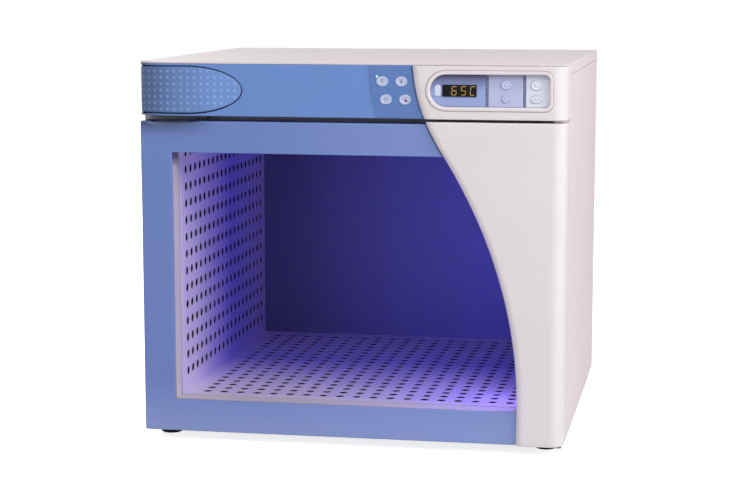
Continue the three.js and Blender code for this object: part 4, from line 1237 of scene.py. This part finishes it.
# Door
def door_loops():
    """Matching closed outlines of the door frame and of its window, side by side, with the frame's normals.

    Both are boxes with small corner arcs and the same number of points on each side; the window's right-hand
    side follows the swept edge, a little behind the wing.
    """
    radius, lip, behind_wing = 3.6 * MM, WINDOW_LIP, 8 * MM
    rail_low, rail_top = 58 * MM, 56 * MM
    (x0, _, z0), (x1, _, z1) = DOOR
    left, low, high = CHAMBER_LOW[0], z0 + rail_low, z1 - rail_top
    inwards = np.array([(1, 1), (-1, 1), (-1, -1), (1, -1)])
    frame_centres = np.array([(x0, z0), (x1, z0), (x1, z1), (x0, z1)]) + radius * inwards
    right_low, right_high = sweep_x(low) + behind_wing, sweep_x(high) + behind_wing
    window_corners = np.array([(left, low), (right_low, low), (right_high, high), (left, high)])
    window_centres = window_corners + lip * inwards
    outer, inner, normals = [], [], []
    for index, count in enumerate((24, 30, 120, 40)):
        arc = directions(math.pi + index * QUARTER + np.linspace(0, QUARTER, 6))
        share = np.linspace(0, 1, count + 2)[1:-1, None]
        centre, small = frame_centres[index], window_centres[index]
        next_centre, next_small = (loop[(index + 1) % 4] for loop in (frame_centres, window_centres))
        run = small + lip * arc[-1] + share * (next_small - small)
        if index == 1:
            run[:, 0] = sweep_x(run[:, 1]) + behind_wing
        outer += [centre + radius * arc, centre + radius * arc[-1] + share * (next_centre - centre)]
        inner += [small + lip * arc, run]
        normals += [arc, np.repeat(arc[-1:], count, 0)]
    return np.vstack(outer), np.vstack(inner), np.vstack(normals)


def door_surface():
    """The blue door frame as a closed ring of one section.

    The section runs forward along the outside, over a quarter circle, across the front, round the window's
    edge and back inside. Where fingers reach in at the top left the quarter circle is larger, and the top
    face sinks into a pocket whose walls are smooth steps.
    """
    size = sizes()
    lip, band, skin, rail = WINDOW_LIP, 0.8 * MM, 3.4 * MM, 22 * MM
    scoop = ((12 * MM, 36 * MM), (84 * MM, 128 * MM))
    pocket_across = ((19 * MM, 24 * MM), (126 * MM, 131 * MM))
    pocket_deep = ((4.5 * MM, 7.5 * MM), (22 * MM, 25 * MM))
    outer, inner, normals = door_loops()
    back = DOOR[1][1]
    top = normals[:, 1] > 0.999
    radius = size.door_edge + (size.door_scoop - size.door_edge) * hump(outer[:, 0] - LEFT, *scoop) * top
    turn = np.linspace(0, QUARTER, 8)
    deep = np.linspace(1, 0, 24)[:-1]
    towards = unit(outer - inner)
    wall = outer - rail * normals
    rows = [(outer, FACE_Y + radius + share * (back - FACE_Y - radius)) for share in deep]
    for angle in turn:
        inset = radius * (1 - math.cos(angle))
        rows.append((outer - inset[:, None] * normals, FACE_Y + radius * (1 - math.sin(angle))))
    rows.append((outer - (radius + band)[:, None] * normals, FACE_Y))
    rows.append((inner + (lip + band) * towards, FACE_Y))
    for angle in turn[::-2]:
        rows.append((inner + lip * math.sin(angle) * towards, FACE_Y + lip * (1 - math.sin(angle))))
    rows += [(inner, FACE_Y + skin), (wall, FACE_Y + skin), (wall, back)]
    across = np.stack([row for row, _ in rows])
    depth = np.stack([np.broadcast_to(row, len(outer)) for _, row in rows])
    pocket = hump(across[..., 0] - LEFT, *pocket_across) * hump(depth - FACE_Y, *pocket_deep)
    sunk = len(deep) + 3
    across[:sunk, :, 1] -= (pocket * top * size.pocket_depth)[:sunk]
    return solid((on_front(across, depth), grid_faces(*depth.shape, wrap_rows=True, wrap_columns=True)))


def make_door():
    shades = colours()
    blue = door_finish("door_blue", shades.door, shades.door_low)
    make("door_frame_shell", door_surface(), blue, "door", "door_frame")
    _, window, _ = door_loops()
    # painted shade at the top of the reveal, where the door's top rail shades it
    shaded = ("Z", window[:, 1].max() - 28 * MM, window[:, 1].max() - 8 * MM, 0.26)
    grey = moulding("reveal_grey", shades.reveal, 0.45, dim=shaded)
    softened("door_inner_frame", grey, "door")
    steel = brushed("strike_steel", shades.dark_steel, (0.04, 1, 1))
    softened("strike_plate", steel, "door", 0.2 * MM)
    dress(pane("door_pane"), "door_glass")
    dress(rubber("gasket_grey", shades.grey_rubber), "door_gasket")


# Chamber
def perforated(u, v, counts, first):
    """A flat sheet with round holes on a square grid.

    Each cell is a ring of quads between a circle and the square round it; four strips carry the sheet on to
    its edges.
    """
    pitch, radius, sides = sizes().hole_pitch, sizes().hole_radius, 16
    circle = directions(full_turn(sides) + QUARTER / 2)
    square = circle / np.abs(circle).max(1, keepdims=True)
    cell = np.stack([circle * radius, square * pitch / 2])
    centre_u, centre_v = (start + pitch * np.arange(count) for start, count in zip(first, counts))
    centres = np.stack(np.meshgrid(centre_u, centre_v, indexing="ij"), -1).reshape(-1, 1, 1, 2)
    ring = grid_faces(2, sides, wrap_columns=True)
    rings = (ring[None] + 2 * sides * np.arange(len(centres))[:, None, None]).reshape(-1, 4)
    corners = np.unique(np.round(square[:, 0], 6)) * pitch / 2
    run_u, run_v = (np.unique(np.round((row[:, None] + corners).ravel(), 7)) for row in (centre_u, centre_v))
    edge_u = np.concatenate([[u[0]], run_u, [u[1]]])
    flat, faces = join(
        ((centres + cell).reshape(-1, 2), rings),
        flat_grid(edge_u, [v[0], run_v[0]]),
        flat_grid(edge_u, [run_v[-1], v[1]]),
        flat_grid([u[0], run_u[0]], run_v),
        flat_grid([run_u[-1], u[1]], run_v),
    )
    turned_round = np.cross(flat[faces[:, 2]] - flat[faces[:, 0]], flat[faces[:, 3]] - flat[faces[:, 1]]) < 0
    faces[turned_round] = faces[turned_round][:, ::-1]
    return flat, faces


def make_liners():
    shades, sheet = colours(), sizes().sheet
    # painted light along the liners: bright near the door, violet further back
    stops = ((0.0, shades.liner_front), (0.12, shades.liner_front), (0.55, shades.liner_middle),
             (1.0, shades.liner_back))
    steel = liner_finish("liner_steel", *stops)
    wall_holes, wall_first = (19, 14), (-268 * MM, 111 * MM)
    floor_holes, floor_first = (19, 19), (-9 * sizes().hole_pitch, -278 * MM)
    for side, x, inwards in (("left", CHAMBER_LOW[0], 1), ("right", CHAMBER_HIGH[0], -1)):
        node = f"liner_{side}"
        low, high = box(node)
        flat, faces = perforated((low[1], high[1]), (low[2], high[2]), wall_holes, wall_first)
        wall = looking((np.column_stack([np.full(len(flat), x), flat]), faces), (inwards, 0, 0))
        make(node + "_sheet", wall, steel, "cabinet", node, sheet)
    low, high = box("chamber_floor")
    flat, faces = perforated((low[0], high[0]), (low[1], high[1]), floor_holes, floor_first)
    floor = looking((np.column_stack([flat, np.full(len(flat), high[2])]), faces), (0, 0, 1))
    make("chamber_floor_sheet", floor, steel, "cabinet", "chamber_floor", sheet)
    dress(back_wall_finish("back_wall_steel", shades.back_dark, shades.back_light), "liner_back")
    dress(steel, "chamber_ceiling")


def make_linings():
    """Insulation boards inside the side panels, turned in along the back panel; their near-black facing is
    painted shade, seen through the liners' holes.

    Each is a bent line in plan carried up, quilted by two crossed waves and thickened outwards.
    """
    quilt, tuft, clear, set_back = 3 * MM, 90 * MM, 1.5 * MM, 16 * MM
    past_liner, below_ceiling = 2 * MM, 4 * MM
    wall, face = sizes().lining - quilt, wool("lining_wool", colours().facing)
    back = box("back_panel")[0][1] - clear - wall
    for side, sign in (("left", -1), ("right", 1)):
        low, high = box(f"{side}_side_panel")
        inner = (low[0] if side == "right" else high[0]) - sign * (clear + wall)
        end = sign * np.abs(box(f"liner_{side}")).max(0)[0] + sign * past_liner
        line = np.array([[inner, low[1] + set_back], [inner, back], [end, back]])
        passed = np.array([0, back - line[0][1], back - line[0][1] + abs(end - inner)])
        way = np.append(np.linspace(0, passed[1], 82), np.linspace(passed[1], passed[2], 9)[1:])
        z = np.linspace(low[2] + quilt, box("chamber_ceiling")[0][2] - below_ceiling, 65)
        wave = np.abs(np.sin(way[:, None] * math.pi / tuft) * np.sin(z * math.pi / tuft)) ** 0.5
        inward = np.where(way[:, None] < passed[1], (-sign, 0), (0, -1))
        flat = along_line(way, passed, line)[:, None] + quilt * wave[..., None] * inward[:, None]
        points = np.concatenate([flat, np.broadcast_to(z[None, :, None], (*wave.shape, 1))], -1)
        board = looking((points.reshape(-1, 3), grid_faces(*wave.shape)), (-sign, -1, 0))
        make(f"{side}_lining", board, face, "cabinet", None, wall)


def make_lamp():
    """The lamp's housing and its lens, half an ellipse carried up with its ends drawn back."""
    shades = colours()
    low, high = box("lamp_lens")
    z = np.linspace(low[2], high[2], 25)
    angle = np.linspace(0, math.pi, 17)
    y = (low[1] + high[1]) / 2 - np.cos(angle) * (high[1] - low[1]) / 2
    x = high[0] - np.sin(angle) * (high[0] - low[0])
    grid = np.stack(np.broadcast_arrays(x[None], y[None], z[:, None]), -1)
    ends = grid[[0, -1]].copy()
    ends[..., 0] = high[0]
    grid = np.concatenate([ends[:1], grid, ends[1:]])
    lens = looking((grid.reshape(-1, 3), grid_faces(*grid.shape[:2])), (-1, 0, 0))
    violet = glowing("lamp_violet", shades.lamp, 48.0, 60)
    make("lamp_diffuser", lens, violet, "cabinet", "lamp_lens", 1 * MM)
    softened("lamp_housing", brushed("lamp_steel", shades.dark_steel, (1, 1, 0.05)), "cabinet")


# Casing
def make_panels():
    shades = colours()
    white = enamel("casing_enamel", shades.enamel)
    zinc = galvanised("zinc_steel", shades.galvanised)
    dark = brushed("hinge_steel", shades.dark_steel, (1, 0.05, 1), 0.38, 0.8)
    softened("top_cover", white, "cabinet", 1.0 * MM, 3)
    for node in ("left_side_panel", "right_side_panel", "back_panel"):
        softened(node, white, "cabinet", 0.5 * MM)
    softened("front_frame", enamel("frame_enamel", shades.frame), "cabinet", 0.5 * MM)
    softened("base_pan", zinc, "cabinet", 0.4 * MM)
    softened("upper_hinge", white, "cabinet", 0.5 * MM)
    softened("lower_hinge", dark, "cabinet", 0.5 * MM)


def screw_head(x, z, y):
    """A pan head on the back panel: a domed profile turned about its axis, with a dimple for the driver."""
    radius = 3.6 * MM
    profile = np.array([(0, 0), (0, 0.5), (0.6, 1.2), (1.8, 1.5), (2.4, 1.5), (2.6, 0.7)]) * MM + (0, y)
    return solid(carry(*oval(x, z, radius, radius, 20), profile))


def make_screws():
    low, high = box("back_panel")
    from_side, from_end = 22 * MM, 16 * MM
    across = np.linspace(low[0] + from_side, high[0] - from_side, 4)
    places = [(x, z) for z in (low[2] + from_end, high[2] - from_end) for x in across]
    places += [(x, (low[2] + high[2]) / 2) for x in (across[0], across[-1])]
    heads = join(*[screw_head(x, z, high[1]) for x, z in places])
    steel = brushed("screw_steel", colours().bright_steel, (1, 1, 1), 0.3)
    make("back_screws", heads, steel, "cabinet", None)


def make_feet():
    """Turned rubber feet: a rounded sole, a straight side with a groove, and a flat top."""
    black = rubber("foot_rubber", colours().rubber)
    sole, groove = [(-4, 0), (-2.2, 0.4), (-0.8, 1.6), (0, 3.4)], [(0, 8), (-0.8, 9), (-0.8, 11), (0, 12)]
    side = np.array(sole + groove) * MM
    for node in ("foot_front_left", "foot_front_right", "foot_rear_left", "foot_rear_right"):
        low, high = box(node)
        radius, top = (high[0] - low[0]) / 2, high[2]
        profile = [(0, 0), *(side + (radius, 0)), (radius, top), (0, top)]
        foot = solid(turned((low[0] + high[0]) / 2, (low[1] + high[1]) / 2, profile))
        make(node + "_pad", foot, black, "cabinet", node)


def make_inner_parts():
    shades = colours()
    dark = brushed("motor_steel", shades.dark_steel, (1, 1, 0.05), 0.4, 0.8)
    bright = brushed("pin_steel", shades.bright_steel, (1, 1, 0.05), 0.25)
    black = moulding("inner_black", shades.black, 0.45)
    dress(galvanised("duct_zinc", shades.galvanised), "air_duct", "power_supply")
    dress(dark, "blower_motor", "heater_left", "heater_right")
    dress(bright, "blower_wheel", "temperature_probe", "pad_pin")
    dress(black, "overheat_thermostat")
    dress(moulding("release_grey", shades.release, 0.45), "release_arm", "latch_magnet")
    dress(moulding("tray_slate", shades.tray, 0.45), "controller_tray")
    dress(wool("mineral_wool", shades.wool), "rear_insulation")
    # near-black facing under the chamber floor, painted shade seen through the floor's holes
    dress(wool("faced_wool", shades.facing), "base_insulation")
    dress(circuit_board("control_board_green", shades.board), "control_board")
    softened("power_inlet", black, "cabinet", 0.5 * MM)


# Stage
def make_world():
    """White surroundings, at full strength where they are seen or mirrored and dim as a light."""
    world = bpy.data.worlds.new("studio")
    bpy.context.scene.world = world
    world.use_nodes = True
    nodes, links = world.node_tree.nodes, world.node_tree.links
    rays = nodes.new("ShaderNodeLightPath").outputs
    seen = rays["Is Camera Ray"]
    for ray in ("Is Glossy Ray", "Is Transmission Ray"):
        either = nodes.new("ShaderNodeMath")
        either.operation = "MAXIMUM"
        links.new(seen, either.inputs[0])
        links.new(rays[ray], either.inputs[1])
        seen = either.outputs[0]
    level = nodes.new("ShaderNodeMapRange")
    level.inputs["To Min"].default_value = 0.25
    level.inputs["To Max"].default_value = 1.0
    links.new(seen, level.inputs["Value"])
    links.new(level.outputs["Result"], nodes["Background"].inputs["Strength"])
    nodes["Background"].inputs["Color"].default_value = (1, 1, 1, 1)


def floor_finish(name, base):
    """Pale floor that keeps shadows; where the camera sees it, it glows a little and runs into the white."""
    made = Finish(name, base, 0.6).mottle(2, 0.01).give("Emission Color", (1, 1, 1, 1))
    seen = made.node("ShaderNodeLightPath").outputs["Is Camera Ray"]
    return made.give("Emission Strength", made.span(seen, 0, 1, 0.0, 0.8)).material


def make_floor():
    half = 9.0
    corners = half * np.array([[-1, -1, 0], [1, -1, 0], [1, 1, 0], [-1, 1, 0]])
    floor = add_object("studio_floor", corners, np.array([[0, 1, 2, 3]]))
    floor.data.materials.append(floor_finish("floor_pale", colours().floor))


def make_lights():
    lamps = {
        "key_softbox": ((3.05, -1.6, 1.9), (0, -0.2, 0.35), 1.8, 71),
        "front_softbox": ((0.39, -3.08, 3.47), (0, -0.3, 0.35), 1.8, 64),
        "back_softbox": ((-2.4, 3.2, 1.7), (0, 0.2, 0.35), 2.0, 64),
    }
    for name, (place, target, size, power) in lamps.items():
        light = bpy.data.lights.new(name, "AREA")
        light.size = size
        light.energy = power
        aim(linked(name, light), place, Vector(target) - Vector(place))


def aim(thing, place, ahead):
    """Puts a lamp or a camera at a place, looking ahead."""
    thing.location = place
    thing.rotation_euler = ahead.to_track_quat("-Z", "Y").to_euler()


def make_camera():
    """Camera at the viewing angle: heading to the left of straight back, tilted down, both in radians."""
    heading, tilt = 0.18343, 0.14133
    focal_pixels, frame_width, sensor = 1877.8, 750, 36
    data = bpy.data.cameras.new("camera")
    data.sensor_width = sensor
    data.lens = sensor * focal_pixels / frame_width
    camera = linked("camera", data)
    level = math.cos(tilt)
    ahead = Vector((-math.sin(heading) * level, math.cos(heading) * level, -math.sin(tilt)))
    aim(camera, (0.6409, -3.5506, 0.8192), ahead)
    bpy.context.scene.camera = camera


# Operators
class CABINET_OT_stage(bpy.types.Operator):
    """Adds the floor, the white surroundings, the lights and the camera"""

    bl_idname = "cabinet.stage"
    bl_label = "Stage"

    def execute(self, context):
        context.scene.view_settings.view_transform = "Standard"
        make_world()
        make_floor()
        make_lights()
        make_camera()
        return {"FINISHED"}


class CABINET_OT_covers(bpy.types.Operator):
    """Adds the white wing of the door, the white end cover and navy strips of painted groove shade along
    their swept edge
    """

    bl_idname = "cabinet.covers"
    bl_label = "White covers"

    def execute(self, context):
        make_covers()
        make_groove_shades()
        return {"FINISHED"}


class CABINET_OT_strip(bpy.types.Operator):
    """Adds the blue control strip and its keypad sheet"""

    bl_idname = "cabinet.strip"
    bl_label = "Control strip"

    def execute(self, context):
        make_strip()
        return {"FINISHED"}


class CABINET_OT_pad(bpy.types.Operator):
    """Adds the dotted push pad"""

    bl_idname = "cabinet.pad"
    bl_label = "Push pad"

    def execute(self, context):
        make_pad()
        return {"FINISHED"}


class CABINET_OT_keys(bpy.types.Operator):
    """Adds the four keys, their marks and the status light"""

    bl_idname = "cabinet.keys"
    bl_label = "Keys"

    def execute(self, context):
        make_keys()
        make_status_light()
        return {"FINISHED"}


class CABINET_OT_controller(bpy.types.Operator):
    """Adds the bezel, plates, buttons and display of the controller"""

    bl_idname = "cabinet.controller"
    bl_label = "Controller"

    def execute(self, context):
        make_bezel()
        make_plates()
        make_display()
        return {"FINISHED"}


class CABINET_OT_door(bpy.types.Operator):
    """Adds the blue door frame, its reveal, pane and gasket"""

    bl_idname = "cabinet.door"
    bl_label = "Door"

    def execute(self, context):
        make_door()
        return {"FINISHED"}


class CABINET_OT_chamber(bpy.types.Operator):
    """Adds the perforated liners, the back wall, the side linings and the lamp"""

    bl_idname = "cabinet.chamber"
    bl_label = "Chamber"

    def execute(self, context):
        make_liners()
        make_linings()
        make_lamp()
        return {"FINISHED"}


class CABINET_OT_casing(bpy.types.Operator):
    """Adds the enamelled panels, hinges, screws and feet"""

    bl_idname = "cabinet.casing"
    bl_label = "Casing"

    def execute(self, context):
        make_panels()
        make_screws()
        make_feet()
        return {"FINISHED"}


class CABINET_OT_inner_parts(bpy.types.Operator):
    """Finishes the pieces inside the casing"""

    bl_idname = "cabinet.inner_parts"
    bl_label = "Inner parts"

    def execute(self, context):
        make_inner_parts()
        return {"FINISHED"}


OPERATORS = (
    CABINET_OT_stage,
    CABINET_OT_covers,
    CABINET_OT_strip,
    CABINET_OT_pad,
    CABINET_OT_keys,
    CABINET_OT_controller,
    CABINET_OT_door,
    CABINET_OT_chamber,
    CABINET_OT_casing,
    CABINET_OT_inner_parts,
)


class CABINET_PT_parts(bpy.types.Panel):
    """Lists the cabinet's operators and settings"""

    bl_idname = "CABINET_PT_parts"
    bl_label = "Warming cabinet"
    bl_space_type = "VIEW_3D"
    bl_region_type = "UI"
    bl_category = "Cabinet"

    def draw(self, context):
        for operator in OPERATORS:
            self.layout.operator(operator.bl_idname)
        for settings in (context.scene.cabinet_sizes, context.scene.cabinet_colours):
            for name in settings.__annotations__:
                self.layout.prop(settings, name)


CLASSES = (CabinetSizes, CabinetColours, *OPERATORS, CABINET_PT_parts)


def register():
    for item in CLASSES:
        bpy.utils.register_class(item)
    bpy.types.Scene.cabinet_sizes = bpy.props.PointerProperty(type=CabinetSizes)
    bpy.types.Scene.cabinet_colours = bpy.props.PointerProperty(type=CabinetColours)


def unregister():
    del bpy.types.Scene.cabinet_colours
    del bpy.types.Scene.cabinet_sizes
    for item in reversed(CLASSES):
        bpy.utils.unregister_class(item)


def main():
    register()
    bpy.ops.cabinet.stage()
    bpy.ops.cabinet.covers()
    bpy.ops.cabinet.strip()
    bpy.ops.cabinet.pad()
    bpy.ops.cabinet.keys()
    bpy.ops.cabinet.controller()
    bpy.ops.cabinet.door()
    bpy.ops.cabinet.chamber()
    bpy.ops.cabinet.casing()
    bpy.ops.cabinet.inner_parts()


if __name__ == "__main__":
    main()
